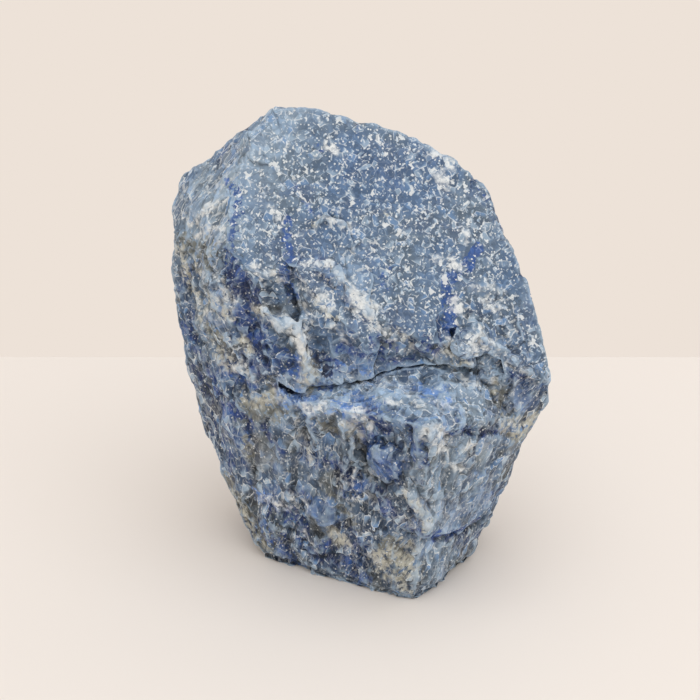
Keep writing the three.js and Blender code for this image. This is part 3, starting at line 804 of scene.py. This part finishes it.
def close_to(points, reach, line):
    """Which points lie within reach of a line, and their distances to it."""
    corners = np.array(line, float)
    inside = (points > corners.min(0) - reach) & (points < corners.max(0) + reach)
    chosen = np.flatnonzero(inside.all(1))
    return chosen, distance_to_line(points[chosen], line)


def mark(cover, points, reach, strength, line):
    """Adds one mark to a cover of shares, strongest on its line and faint at twice its reach."""
    chosen, gap = close_to(points, 2.5 * reach, line)
    share = strength * np.exp(-0.7 * (gap / reach) ** 2)
    cover[chosen] = np.maximum(cover[chosen], share)


def carve(piece, strokes):
    """Works ridges and grooves into the skin, along its outward directions."""
    mesh = piece.data
    points, turns = places(mesh), places(mesh, "normal")
    uneven = crooked(points)
    edge = (1.0 - ease(points[:, 2], 0.0, FOOT_EDGE_TOP)) * (turns[:, 2] > FOOT_DOWN)
    rise = -FOOT_ROUNDING * edge
    for reach, height, line in strokes:
        chosen, gap = close_to(uneven, reach, line)
        rise[chosen] += height * np.clip(1.0 - gap / reach, 0.0, 1.0)
    moved = points + turns * rise[:, None]
    moved[:, 2] = np.maximum(moved[:, 2], 0.0)
    move_to(mesh, moved)


def hidden_marks(mesh, count, seed):
    """Patches for the sides and the back, each along the strands of the stone."""
    points, turns = places(mesh), places(mesh, "normal")
    draw = np.random.RandomState(seed)
    behind = np.flatnonzero(turns @ TOWARDS_FRONT < HIDDEN_BELOW)
    made = []
    for _ in range(count):
        start = points[behind[draw.randint(len(behind))]]
        kind = draw.choice(list(HIDDEN_SHARES), p=list(HIDDEN_SHARES.values()))
        reach = draw.uniform(*(HIDDEN_VEIN_REACH if kind == "vein" else HIDDEN_PATCH_REACH))
        lean = np.array([draw.uniform(-0.5, 0.5), draw.uniform(-0.3, 0.3), 1.0])
        run = lean / np.linalg.norm(lean) * draw.uniform(*HIDDEN_RUN)
        made.append((kind, reach, draw.uniform(0.55, 1.0), (start, start + run)))
    return made


def neighbour_mean(pairs, counts, values):
    """Each point's mean over the points that share an edge with it."""
    total = np.zeros_like(values)
    for side in range(3):
        total[:, side] = np.bincount(pairs[0], values[pairs[1], side], len(values))
        total[:, side] += np.bincount(pairs[1], values[pairs[0], side], len(values))
    return total / counts[:, None]


def smoothed(mesh):
    """Every point's place in mm once the skin is smoothed."""
    edges = np.zeros(len(mesh.edges) * 2, np.int32)
    mesh.edges.foreach_get("vertices", edges)
    pairs = edges.reshape(-1, 2).T
    smooth = places(mesh)
    counts = np.bincount(edges, minlength=len(smooth)).astype(float)
    for _ in range(SMOOTHING_ROUNDS):
        smooth = 0.5 * (smooth + neighbour_mean(pairs, counts, smooth))
    return smooth


def stand_proud(mesh, smooth):
    """How far each point stands out of the smoothed skin, in mm."""
    return np.einsum("ij,ij->i", places(mesh) - smooth, places(mesh, "normal"))


def blunt(mesh):
    """Wears the sharpest points above the foot back towards the smoothed skin."""
    points, smooth = places(mesh), smoothed(mesh)
    away = points - smooth
    gap = np.linalg.norm(away, axis=1)
    sharp = (stand_proud(mesh, smooth) > 0.0) & (gap > SHARPEST) & (points[:, 2] > BLUNT_FROM)
    points[sharp] = smooth[sharp] + away[sharp] * (SHARPEST / gap[sharp])[:, None]
    move_to(mesh, points)


def wavy_height(points):
    """Each point's height in mm, raised and lowered in waves, so that borders drawn on it waver."""
    across, deep, height = points.T
    waves = height + 2.6 * np.sin(0.31 * across + 0.47 * deep)
    return waves + 1.5 * np.sin(0.93 * deep - 0.71 * across)


def zones(mesh, calm):
    """Keeps on the skin where it is flat, where strands run and how strongly it breaks."""
    points, turns = places(mesh), places(mesh, "normal")
    flat = ease(turns @ FACE_TURN, *FACE_ALIKE)
    flat *= 1.0 - ease(abs(points @ FACE_TURN - FACE_DISTANCE), *FACE_DEPTH)
    level = wavy_height(points)
    strands = (1.0 - ease(level, *STRANDS_TOP)) * (1.0 - ease(turns[:, 2], *FACING_UP))
    shoulder = ease(level, *SHOULDER_FOOT) * ease(-turns[:, 0], *FACING_LEFT)
    right = ease(points[:, 0], *RIGHT_FLANK) * (1.0 - ease(level, *RIGHT_FLANK_TOP))
    store(mesh, "flat", flat)
    store(mesh, "shoulder", shoulder * ease(-turns[:, 1], *FACING_FORWARDS))
    store(mesh, "strands", np.maximum(strands, right) * (1.0 - flat))
    smooth = np.zeros(len(points))
    for reach, strength, line in calm:
        mark(smooth, points, reach, strength, line)
    relief = (1.0 - 0.75 * flat) * (1.0 - 0.7 * smooth)
    store(mesh, "relief", relief * ease(points[:, 2], *BREAKING_FROM))
    store(mesh, "height", points[:, 2])


def lay_out_marks(mesh, drawn, behind):
    """Keeps on the skin how strongly each kind of mark covers it."""
    uneven = crooked(places(mesh))
    covers = {kind: np.zeros(len(uneven)) for kind in MARKINGS}
    in_view = [(kind, *stroke) for kind, strokes in drawn.items() for stroke in strokes]
    for kind, reach, strength, line in in_view + behind:
        mark(covers[kind], uneven, reach, strength, line)
    for kind, cover in covers.items():
        store(mesh, kind, cover)


def group_input(tree, name, kind, default):
    """A named input of a node group, known by its identifier."""
    socket = tree.interface.new_socket(name, in_out="INPUT", socket_type=kind)
    if default is not None:
        socket.default_value = default
    return socket.identifier


def named_number(graph, name):
    """A number stored on the skin, as geometry nodes read it."""
    node = graph.add("GeometryNodeInputNamedAttribute", {"Name": name}, data_type="FLOAT")
    return node.outputs[0]


def fanned(graph, where, stretch):
    """Places along strands that fan out upwards from under the foot, drawn out by stretch."""
    parts = graph.add("ShaderNodeSeparateXYZ", {0: where}).outputs
    spread = graph.math("DIVIDE", 1.0, graph.math("MULTIPLY_ADD", parts[2], 1.0 / FAN_HEIGHT, 1.0))
    across = graph.times(parts[0], spread)
    deep = graph.times(parts[1], spread)
    upwards = graph.math("DIVIDE", parts[2], stretch)
    return graph.add("ShaderNodeCombineXYZ", {0: across, 1: deep, 2: upwards}).outputs[0]


def along(graph, where, stretch):
    """Places drawn out by stretch along the run of the narrow left shoulder."""
    run = graph.scaled(tuple(SHOULDER_RUN), graph.dot(where, tuple(SHOULDER_RUN)))
    return graph.vector("SUBTRACT", where, graph.scaled(run, 1.0 - 1.0 / stretch))


def tipped(graph, where, size, cell):
    """Height in cells of flat chips, each tipped its own way, and each one's random colour."""
    spot = graph.scaled(where, graph.inverse(size))
    offset = graph.vector("SUBTRACT", spot, cell.outputs["Position"])
    turn = graph.vector("SUBTRACT", cell.outputs["Color"], (0.5, 0.5, 0.5))
    return graph.times(graph.dot(offset, turn), 2.0), cell.outputs["Color"]


def broken_skin_tree():
    """Geometry nodes that tip and lift the points of a skin, in chips drawn out along its strands."""
    tree = bpy.data.node_groups.new("Broken stone skin", "GeometryNodeTree")
    keys = {
        "Geometry": group_input(tree, "Geometry", "NodeSocketGeometry", None),
        "Chip size": group_input(tree, "Chip size", "NodeSocketFloat", 3.0),
        "Chip depth": group_input(tree, "Chip depth", "NodeSocketFloat", 0.5),
        "Point depth": group_input(tree, "Point depth", "NodeSocketFloat", 0.2),
        "Seed": group_input(tree, "Seed", "NodeSocketInt", 7),
        "Finish": group_input(tree, "Finish", "NodeSocketMaterial", None),
    }
    tree.interface.new_socket("Geometry", in_out="OUTPUT", socket_type="NodeSocketGeometry")
    graph = Graph(tree)
    given = graph.add("NodeGroupInput").outputs
    at = graph.add("GeometryNodeInputPosition").outputs[0]
    place = graph.scaled(at, 1.0 / MM)
    place = graph.vector("ADD", place, graph.times(given["Seed"], SEED_STEP))
    wander = graph.clouds(place, size=4.0).outputs["Color"]
    wander = graph.vector("SUBTRACT", wander, (0.5, 0.5, 0.5))
    place = graph.vector("ADD", place, graph.scaled(wander, 1.6))
    drawn = fanned(graph, place, stretch=3.2)
    across = along(graph, place, stretch=3.0)
    where = graph.pick(graph.step(named_number(graph, "strands"), 0.45, 0.55), place, drawn)
    where = graph.pick(graph.step(named_number(graph, "shoulder"), 0.45, 0.55), where, across)
    cones = graph.cells(where, given["Chip size"], distance="MANHATTAN").outputs["Distance"]
    chips = graph.math("SUBTRACT", 0.75, cones)
    dice = graph.add("FunctionNodeRandomValue", {2: -1.0, 3: 1.0, "Seed": given["Seed"]})
    height = graph.times(chips, given["Chip depth"])
    height = graph.math("MULTIPLY_ADD", dice.outputs[1], given["Point depth"], height)
    height = graph.times(height, named_number(graph, "relief"))
    turn = graph.add("GeometryNodeInputNormal").outputs[0]
    moved = graph.add("GeometryNodeSetPosition", {
        "Geometry": given["Geometry"],
        "Offset": graph.scaled(turn, graph.times(height, MM)),
    })
    parts = graph.add("ShaderNodeSeparateXYZ", {0: at}).outputs
    above = graph.math("MAXIMUM", parts[2], 0.0)
    stood = graph.add("GeometryNodeSetPosition", {
        "Geometry": moved.outputs[0],
        "Position": graph.add("ShaderNodeCombineXYZ", {0: parts[0], 1: parts[1], 2: above}).outputs[0],
    })
    real = graph.add("GeometryNodeRealizeInstances", {"Geometry": stood.outputs[0]})
    dressed = graph.add("GeometryNodeSetMaterial", {
        "Geometry": real.outputs[0], "Material": given["Finish"],
    })
    graph.add("NodeGroupOutput", {"Geometry": dressed.outputs[0]})
    return tree, keys


def break_skin(piece, skin, finish, **sizes):
    """Runs the geometry nodes on the piece with these sizes and keeps what they make as its mesh."""
    tree, keys = skin
    breaker = piece.modifiers.new("Broken skin", "NODES")
    breaker.node_group = tree
    breaker[keys["Finish"]] = finish
    for name, value in sizes.items():
        breaker[keys[name.replace("_", " ").capitalize()]] = value
    bake_modifiers(piece)


def kept(graph, name):
    """A number stored on the skin, as a finish reads it."""
    return graph.add("ShaderNodeAttribute", attribute_name=name).outputs["Fac"]


class Ground:
    """Places on the stone in mm, and what its skin keeps, as every layer of the finish reads them."""

    def __init__(self, graph, seed):
        object_place = graph.add("ShaderNodeTexCoord").outputs["Object"]
        self.place = graph.shifted(graph.scaled(object_place, 1.0 / MM), SEED_STEP * seed)
        self.flat = kept(graph, "flat")
        self.strands = kept(graph, "strands")
        self.shoulder = kept(graph, "shoulder")
        self.calm = kept(graph, "calm")
        self.proud = kept(graph, "proud")
        self.specks = graph.clouds(self.place, size=1.1).outputs[0]
        self.patches = graph.clouds(self.place, size=7.5, detail=3.0).outputs[0]
        wander = graph.clouds(self.place, size=1.6).outputs["Color"]
        wander = graph.vector("SUBTRACT", wander, (0.5, 0.5, 0.5))
        self.bent = graph.vector("ADD", self.place, graph.scaled(wander, 0.5))
        swayed = graph.vector("ADD", self.place, graph.scaled(wander, 0.4))
        drawn = fanned(graph, swayed, stretch=1.5)
        across = along(graph, self.bent, stretch=2.4)
        where = graph.pick(graph.step(self.strands, 0.4, 0.6), self.bent, drawn)
        self.where = graph.pick(graph.step(self.shoulder, 0.4, 0.6), where, across)


def ragged(graph, cover, uneven, low=0.36, high=0.62):
    """A mark's cover with its edge broken up along the grains."""
    return graph.step(graph.times(cover, uneven), low, high)


def scales(graph, where, size, share):
    """Thin pointed scales on some of the grains, crisp at the edge and fading across each one."""
    cell = graph.cells(where, size, distance="MANHATTAN")
    spread = cell.outputs["Distance"]
    tilt, shade = tipped(graph, where, size, cell)
    parts = graph.add("ShaderNodeSeparateColor", {0: shade}).outputs
    chosen = graph.step(parts[2], 1.0 - share, 1.06 - share)
    inside = graph.times(graph.step(spread, 0.60, 0.66, 1.0, 0.0), chosen)
    border = graph.line(graph.math("SUBTRACT", spread, 0.62), 0.04 / size, 0.15 / size)
    rim = graph.times(graph.times(border, chosen), graph.step(tilt, 0.02, 0.25))
    return Layer(graph.times(inside, graph.step(tilt, 0.0, 0.34)), rim, tilt, parts[0], parts[1])


def flakes(graph, where, size):
    """Flakes that fill the skin, each one paler towards one side of it."""
    cell = graph.cells(where, size)
    border = graph.cells(where, size, feature="DISTANCE_TO_EDGE").outputs["Distance"]
    tilt, shade = tipped(graph, where, size, cell)
    parts = graph.add("ShaderNodeSeparateColor", {0: shade}).outputs
    rim = graph.times(graph.step(border, 0.025, 0.08, 1.0, 0.0), graph.step(tilt, 0.05, 0.3))
    return Layer(graph.step(tilt, 0.08, 0.45), rim, tilt, parts[0], parts[1])


def cloudy_body(graph, ground, settings):
    """The blue below the grains: clouds of slate, steel, deep blue, olive and royal blue, with painted
    shade that darkens it towards the foot and milky pale faces that are partly painted light.
    """
    wide = graph.clouds(ground.place, size=15.0, detail=3.0).outputs[0]
    body = graph.blend(graph.step(wide, 0.42, 0.60), settings.slate, settings.steel)
    deep = graph.times(graph.step(ground.patches, 0.49, 0.62), graph.between(ground.flat, 0.9, 0.35))
    body = graph.blend(deep, body, settings.deep)
    rough = graph.math("SUBTRACT", 1.0, ground.flat)
    for shade, shift, low, share in (
        (settings.olive, 40.0, 0.54, 0.6),
        (settings.royal, 70.0, 0.55, 0.46),
    ):
        cloud = graph.clouds(graph.shifted(ground.place, shift), size=8.0, detail=3.0).outputs[0]
        cloud = graph.times(graph.step(cloud, low, low + 0.1), graph.times(rough, share))
        body = graph.blend(cloud, body, shade)
    # Painted shade: the rough skin gets darker towards the foot.
    painted_foot_shade = graph.step(kept(graph, "height"), *FOOT_SHADE_HEIGHTS, 0.56, 0.76)
    body = graph.scaled(body, graph.between(ground.flat, painted_foot_shade, 0.93))
    # Milky pale faces, partly painted light.
    return graph.blend(graph.times(kept(graph, "pale"), 0.6), body, settings.milky)


def grain_edges(graph, ground, middle):
    """A number round 1 that breaks the edges of marks along the grains, less so on calm lumps."""
    uneven = graph.math("SUBTRACT", ground.specks, 0.5)
    uneven = graph.math("MULTIPLY_ADD", uneven, 1.8, graph.times(middle.tilt, 0.9))
    uneven = graph.times(uneven, graph.between(ground.calm, 1.0, 0.3))
    return graph.math("ADD", uneven, 1.0)


def with_marks(graph, ground, settings, body, uneven):
    """The body with its olive, dark blue, royal and bright marks, the dark blue partly painted shade,
    and how clear they leave it.
    """
    clear = ground.calm
    for name, shade, strength in (
        ("olive", settings.olive, 0.85),
        ("navy", settings.navy, 0.92),
        ("vein", settings.royal, 0.88),
        ("bright", settings.bright, 0.8),
    ):
        cover = graph.times(ragged(graph, kept(graph, name), uneven), strength)
        body = graph.blend(cover, body, shade)
        clear = graph.math("MAXIMUM", clear, cover)
    return body, clear


def with_grain_tones(graph, ground, body, large, middle, small):
    """Every grain a little lighter or darker than the next, and streaks that run up the strands."""
    streak = graph.shifted(fanned(graph, ground.bent, stretch=3.0), 61.0)
    streak = graph.clouds(streak, size=4.4).outputs[0]
    streak = graph.between(ground.strands, 1.0, graph.step(streak, 0.40, 0.60, 0.60, 1.20))
    body = graph.scaled(body, streak)
    broken = graph.step(large.tone, 0.0, 1.0, 0.60, 1.38)
    cleaved = graph.step(large.tone, 0.0, 1.0, 0.85, 1.15)
    tone = graph.between(ground.flat, broken, cleaved)
    tone = graph.times(tone, graph.step(middle.tone, 0.0, 1.0, 0.83, 1.17))
    tone = graph.times(tone, graph.step(small.tone, 0.0, 1.0, 0.92, 1.08))
    return graph.scaled(body, tone)


def with_pale_grains(graph, ground, settings, body, clear, large, middle, small):
    """Translucent flakes and scales, thinner in some clouds and on the clear marks."""
    dense = graph.clouds(graph.shifted(ground.place, 90.0), size=4.5).outputs[0]
    dense = graph.between(ground.flat, graph.step(dense, 0.38, 0.54, 0.45, 1.0), 1.0)
    dense = graph.times(dense, graph.between(clear, 1.0, 0.12))
    flake = graph.blend(graph.step(large.hue, 0.45, 0.75), settings.milky, settings.glassy)
    for layer, rough_share, flat_share, shade in (
        (large, 0.95, 0.55, flake),
        (middle, 0.36, 0.88, settings.milky),
        (small, 0.18, 0.8, settings.milky),
    ):
        share = graph.times(dense, graph.between(ground.flat, rough_share, flat_share))
        body = graph.blend(graph.times(layer.cover, share), body, shade)
    return body


def with_crests(graph, settings, body, uneven, small):
    """Cream patches and white crests."""
    for name, shade, strength in (
        ("cream", settings.cream, 0.9),
        ("white", settings.white, 1.0),
    ):
        cover = ragged(graph, kept(graph, name), uneven, 0.25, 0.8)
        thin = graph.step(small.tone, 0.0, 1.0, 0.65 * strength, strength)
        body = graph.blend(graph.times(cover, thin), body, shade)
    return body


def grain_net(graph, ground):
    """A net of lines round the clearer grains, closest on the narrow left shoulder."""
    net = graph.cells(ground.where, size=1.9, feature="DISTANCE_TO_EDGE").outputs["Distance"]
    net = graph.times(graph.step(net, 0.02, 0.08, 1.0, 0.0), graph.step(ground.patches, 0.44, 0.56))
    share = graph.between(ground.flat, graph.between(ground.shoulder, 0.22, 0.5), 0.06)
    return graph.times(net, share)


def strand_threads(graph, ground):
    """Fine threads that run up the strands."""
    thread = graph.shifted(fanned(graph, ground.place, stretch=4.5), 50.0)
    thread = graph.clouds(thread, size=1.7, detail=1.0).outputs[0]
    thread = graph.line(graph.math("SUBTRACT", thread, 0.5), 0.008, 0.022)
    share = graph.times(ground.strands, graph.step(ground.specks, 0.40, 0.55))
    return graph.times(graph.times(thread, share), 0.35)


def with_fine_lines(graph, ground, settings, body, clear, large, middle, small):
    """White lines along the crisp edges of the grains, fewer on the clear marks, and threads."""
    lines = 0.0
    for layer, rough_share, flat_share in (
        (large, 0.9, 0.6),
        (middle, 0.4, 0.6),
        (small, 0.12, 0.5),
    ):
        rim = graph.times(layer.rim, graph.between(ground.flat, rough_share, flat_share))
        lines = graph.math("MAXIMUM", lines, rim)
    lines = graph.times(lines, graph.step(ground.specks, 0.35, 0.55))
    lines = graph.times(lines, graph.between(ground.calm, 1.0, 0.4))
    lines = graph.math("MAXIMUM", lines, grain_net(graph, ground))
    lines = graph.math("MAXIMUM", lines, strand_threads(graph, ground))
    lines = graph.times(lines, graph.between(clear, 1.0, 0.3))
    return graph.blend(lines, body, settings.white)


def with_flecks(graph, ground, settings, body):
    """White flecks with pointed corners, small splinters and round dots."""
    fleck = graph.cells(graph.shifted(ground.bent, 31.0), size=1.4, distance="MANHATTAN")
    fleck = fleck.outputs["Distance"]
    fleck = graph.times(graph.step(fleck, 1.16, 1.27), graph.between(ground.flat, 0.12, 0.8))
    splinter = graph.cells(graph.shifted(ground.bent, 23.0), size=0.85).outputs["Distance"]
    splinter = graph.times(graph.step(splinter, 0.79, 0.86), graph.between(ground.flat, 0.1, 0.55))
    dot = graph.cells(graph.shifted(ground.place, 11.0), size=1.1).outputs["Distance"]
    dot = graph.times(graph.step(dot, 0.15, 0.22, 1.0, 0.0), graph.between(ground.flat, 0.6, 0.85))
    body = graph.blend(graph.math("MAXIMUM", fleck, splinter), body, settings.white)
    return graph.blend(dot, body, settings.white)


def with_painted_light_and_shade(graph, ground, settings, body, uneven):
    """Painted light through the thin edges that stand proud, painted shade in hollows and darker painted
    shade in cracks.
    """
    # Painted light: thin edges that stand proud turn milky.
    body = graph.blend(graph.step(ground.proud, *LIT_THIN_EDGES, 0.0, 0.6), body, settings.milky)
    # Painted shade: hollows below the smoothed skin get darker.
    body = graph.scaled(body, graph.step(ground.proud, *SHADED_HOLLOWS, 0.5, 1.0))
    # Painted shade along the cracks and pits.
    cracks = ragged(graph, kept(graph, "dark"), uneven)
    return graph.blend(graph.times(cracks, 0.7), body, settings.crack_shade)


def fine_relief(graph, ground, large, middle, small):
    """Relief too fine for the skin: the tilt of each grain and a light roughness over all."""
    height = graph.times(large.tilt, graph.between(ground.flat, 0.5, 0.05))
    height = graph.math("MULTIPLY_ADD", middle.tilt, 0.10, height)
    height = graph.math("MULTIPLY_ADD", small.tilt, 0.04, height)
    grit = graph.clouds(ground.place, size=0.45).outputs[0]
    height = graph.math("MULTIPLY_ADD", grit, 0.05, height)
    return graph.add("ShaderNodeBump", {"Strength": 0.75, "Distance": MM, "Height": height}).outputs[0]


def quartz_finish(settings):
    """The stone's finish, built up from the cloudy blue body to the fine white flecks."""
    finish = bpy.data.materials.new("quartz_stone")
    finish.use_nodes = True
    finish.node_tree.nodes.clear()
    graph = Graph(finish.node_tree)
    ground = Ground(graph, settings.seed)
    large = flakes(graph, ground.where, size=2.3)
    middle = scales(graph, graph.shifted(ground.where, 5.0), size=1.35, share=0.68)
    small = scales(graph, graph.shifted(ground.where, 9.0), size=0.8, share=0.6)
    uneven = grain_edges(graph, ground, middle)

    body = cloudy_body(graph, ground, settings)
    body, clear = with_marks(graph, ground, settings, body, uneven)
    body = with_grain_tones(graph, ground, body, large, middle, small)
    body = with_pale_grains(graph, ground, settings, body, clear, large, middle, small)
    body = with_crests(graph, settings, body, uneven, small)
    body = with_fine_lines(graph, ground, settings, body, clear, large, middle, small)
    body = with_flecks(graph, ground, settings, body)
    body = with_painted_light_and_shade(graph, ground, settings, body, uneven)

    surface = graph.add("ShaderNodeBsdfPrincipled", {
        "Base Color": body,
        "Roughness": graph.step(small.tone, 0.0, 1.0, 0.32, 0.62),
        "Normal": fine_relief(graph, ground, large, middle, small),
    })
    surface.inputs["Specular IOR Level"].default_value = 0.3
    graph.add("ShaderNodeOutputMaterial", {"Surface": surface.outputs[0]})
    return finish


def plain_finish(name, shade, roughness):
    """A finish of one shade, for the stage."""
    finish = bpy.data.materials.new(name)
    finish.use_nodes = True
    surface = finish.node_tree.nodes["Principled BSDF"]
    surface.inputs["Base Color"].default_value = shade
    surface.inputs["Roughness"].default_value = roughness
    return finish


def make_stone(settings):
    """The whole stone: its solid broken twice over, with the marks and the finish."""
    skin, finish = broken_skin_tree(), quartz_finish(settings)
    core = plain_copy()
    drawn = {kind: drawn_on(*core, strokes) for kind, strokes in MARKINGS.items()}
    worked = drawn_on(*core, RIDGES_AND_GROOVES)
    coarse_reach = settings.chip_edge / MM * COARSE_SHARE
    coarse = new_piece("quartz_core", *refined(*core, settings.chip_edge / MM))
    behind = hidden_marks(coarse.data, settings.hidden_patches, settings.seed)
    carve(coarse, [stroke for stroke in worked if stroke[0] >= coarse_reach])
    zones(coarse.data, drawn["calm"])
    break_skin(
        coarse, skin, finish, seed=settings.seed, chip_size=settings.chip_size / MM,
        chip_depth=settings.chip_depth / MM, point_depth=settings.chip_scatter / MM,
    )
    points, faces = refined(places(coarse.data), triangles(coarse.data), settings.grain_edge / MM)
    bpy.data.meshes.remove(coarse.data)
    piece = new_piece("quartz_chunk", points, faces)
    carve(piece, [stroke for stroke in worked if stroke[0] < coarse_reach])
    zones(piece.data, drawn["calm"])
    break_skin(
        piece, skin, finish, seed=settings.seed + 1, chip_size=settings.grain_size / MM,
        chip_depth=settings.grain_depth / MM, point_depth=settings.grain_scatter / MM,
    )
    blunt(piece.data)
    lay_out_marks(piece.data, drawn, behind)
    store(piece.data, "proud", stand_proud(piece.data, smoothed(piece.data)))
    return piece


def place_lamp(name, spot, width, power):
    """A round lamp that hangs at a spot and aims at the stone."""
    lamp = bpy.data.lights.new(name, "AREA")
    lamp.shape = "DISK"
    lamp.size = width
    lamp.energy = power
    lamp.color = LAMP_SHADE
    holder = bpy.data.objects.new(name, lamp)
    holder.location = spot
    holder.rotation_euler = (Vector(LAMP_AIM) - Vector(spot)).to_track_quat("-Z", "Y").to_euler()
    bpy.context.scene.collection.objects.link(holder)


def make_panel(name, corners, finish):
    """A flat panel of the stage with four corners."""
    mesh = bpy.data.meshes.new(name)
    mesh.from_pydata(corners, [], [(0, 1, 2, 3)])
    mesh.materials.append(finish)
    panel = bpy.data.objects.new(name, mesh)
    bpy.context.scene.collection.objects.link(panel)
    return panel


def make_table(settings):
    """A flat pale table top that ends behind the stone."""
    reach, back = 1.6, settings.table_back
    corners = [(-reach, -reach, 0.0), (reach, -reach, 0.0), (reach, back, 0.0), (-reach, back, 0.0)]
    return make_panel("table_top", corners, plain_finish("table_cloth", settings.floor, 0.85))


def make_wall(settings):
    """A wide pale wall, far enough back to stay out of the way of any other view."""
    finish = plain_finish("wall_paint", BLACK, 1.0)
    surface = finish.node_tree.nodes["Principled BSDF"]
    surface.inputs["Specular IOR Level"].default_value = 0.0
    surface.inputs["Emission Color"].default_value = settings.wall
    surface.inputs["Emission Strength"].default_value = 1.0
    reach, back, top = 2.4, 1.6, 1.6
    corners = [(-reach, back, top), (reach, back, top), (reach, back, -top), (-reach, back, -top)]
    return make_panel("wall", corners, finish)


def make_air(strength):
    """Even light from all round."""
    world = bpy.data.worlds.new("studio")
    world.use_nodes = True
    background = world.node_tree.nodes["Background"]
    background.inputs["Color"].default_value = AIR_SHADE
    background.inputs["Strength"].default_value = strength
    bpy.context.scene.world = world


def make_camera(lens):
    """The camera that the picture is taken with."""
    camera = bpy.data.cameras.new("view")
    camera.sensor_width = SENSOR
    camera.lens = lens
    camera.clip_start = 0.01
    holder = bpy.data.objects.new("view", camera)
    holder.location = CAMERA_PLACE
    holder.rotation_euler = CAMERA_TURN
    bpy.context.scene.collection.objects.link(holder)
    bpy.context.scene.camera = holder


class QUARTZ_OT_stone(bpy.types.Operator):
    """Build the chunk of quartz over its solid"""

    bl_idname = "quartz.stone"
    bl_label = "Quartz chunk"

    def execute(self, context):
        piece = make_stone(context.scene.quartz_stone)
        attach(piece, "root")
        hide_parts(NODE)
        return {"FINISHED"}


class QUARTZ_OT_stage(bpy.types.Operator):
    """Set the table, the light and the camera round the stone"""

    bl_idname = "quartz.stage"
    bl_label = "Table, light and camera"

    def execute(self, context):
        settings = context.scene.quartz_stage
        make_camera(settings.lens)
        make_air(settings.air)
        make_table(settings)
        make_wall(settings)
        place_lamp("key_light", KEY_PLACE, settings.key_width, settings.key_power)
        place_lamp("side_light", SIDE_PLACE, settings.side_width, settings.side_power)
        context.scene.view_settings.view_transform = "Standard"
        return {"FINISHED"}


class QUARTZ_PT_sidebar(bpy.types.Panel):
    """Buttons and settings for the quartz specimen"""

    bl_idname = "QUARTZ_PT_sidebar"
    bl_label = "Blue quartz"
    bl_space_type = "VIEW_3D"
    bl_region_type = "UI"
    bl_category = "Quartz"

    def draw(self, context):
        groups = (
            (QUARTZ_OT_stage, context.scene.quartz_stage),
            (QUARTZ_OT_stone, context.scene.quartz_stone),
        )
        for operator, settings in groups:
            box = self.layout.box()
            box.operator(operator.bl_idname)
            for name in settings.__annotations__:
                box.prop(settings, name)


CLASSES = (
    QuartzStoneSettings,
    QuartzStageSettings,
    QUARTZ_OT_stone,
    QUARTZ_OT_stage,
    QUARTZ_PT_sidebar,
)


def register():
    """Adds the panel, its operators and their settings."""
    for one in CLASSES:
        bpy.utils.register_class(one)
    bpy.types.Scene.quartz_stone = PointerProperty(type=QuartzStoneSettings)
    bpy.types.Scene.quartz_stage = PointerProperty(type=QuartzStageSettings)


def unregister():
    """Takes the panel, its operators and their settings away again."""
    del bpy.types.Scene.quartz_stage
    del bpy.types.Scene.quartz_stone
    for one in reversed(CLASSES):
        bpy.utils.unregister_class(one)


def main():
    """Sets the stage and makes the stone."""
    register()
    bpy.ops.quartz.stage()
    bpy.ops.quartz.stone()


if __name__ == "__main__":
    main()
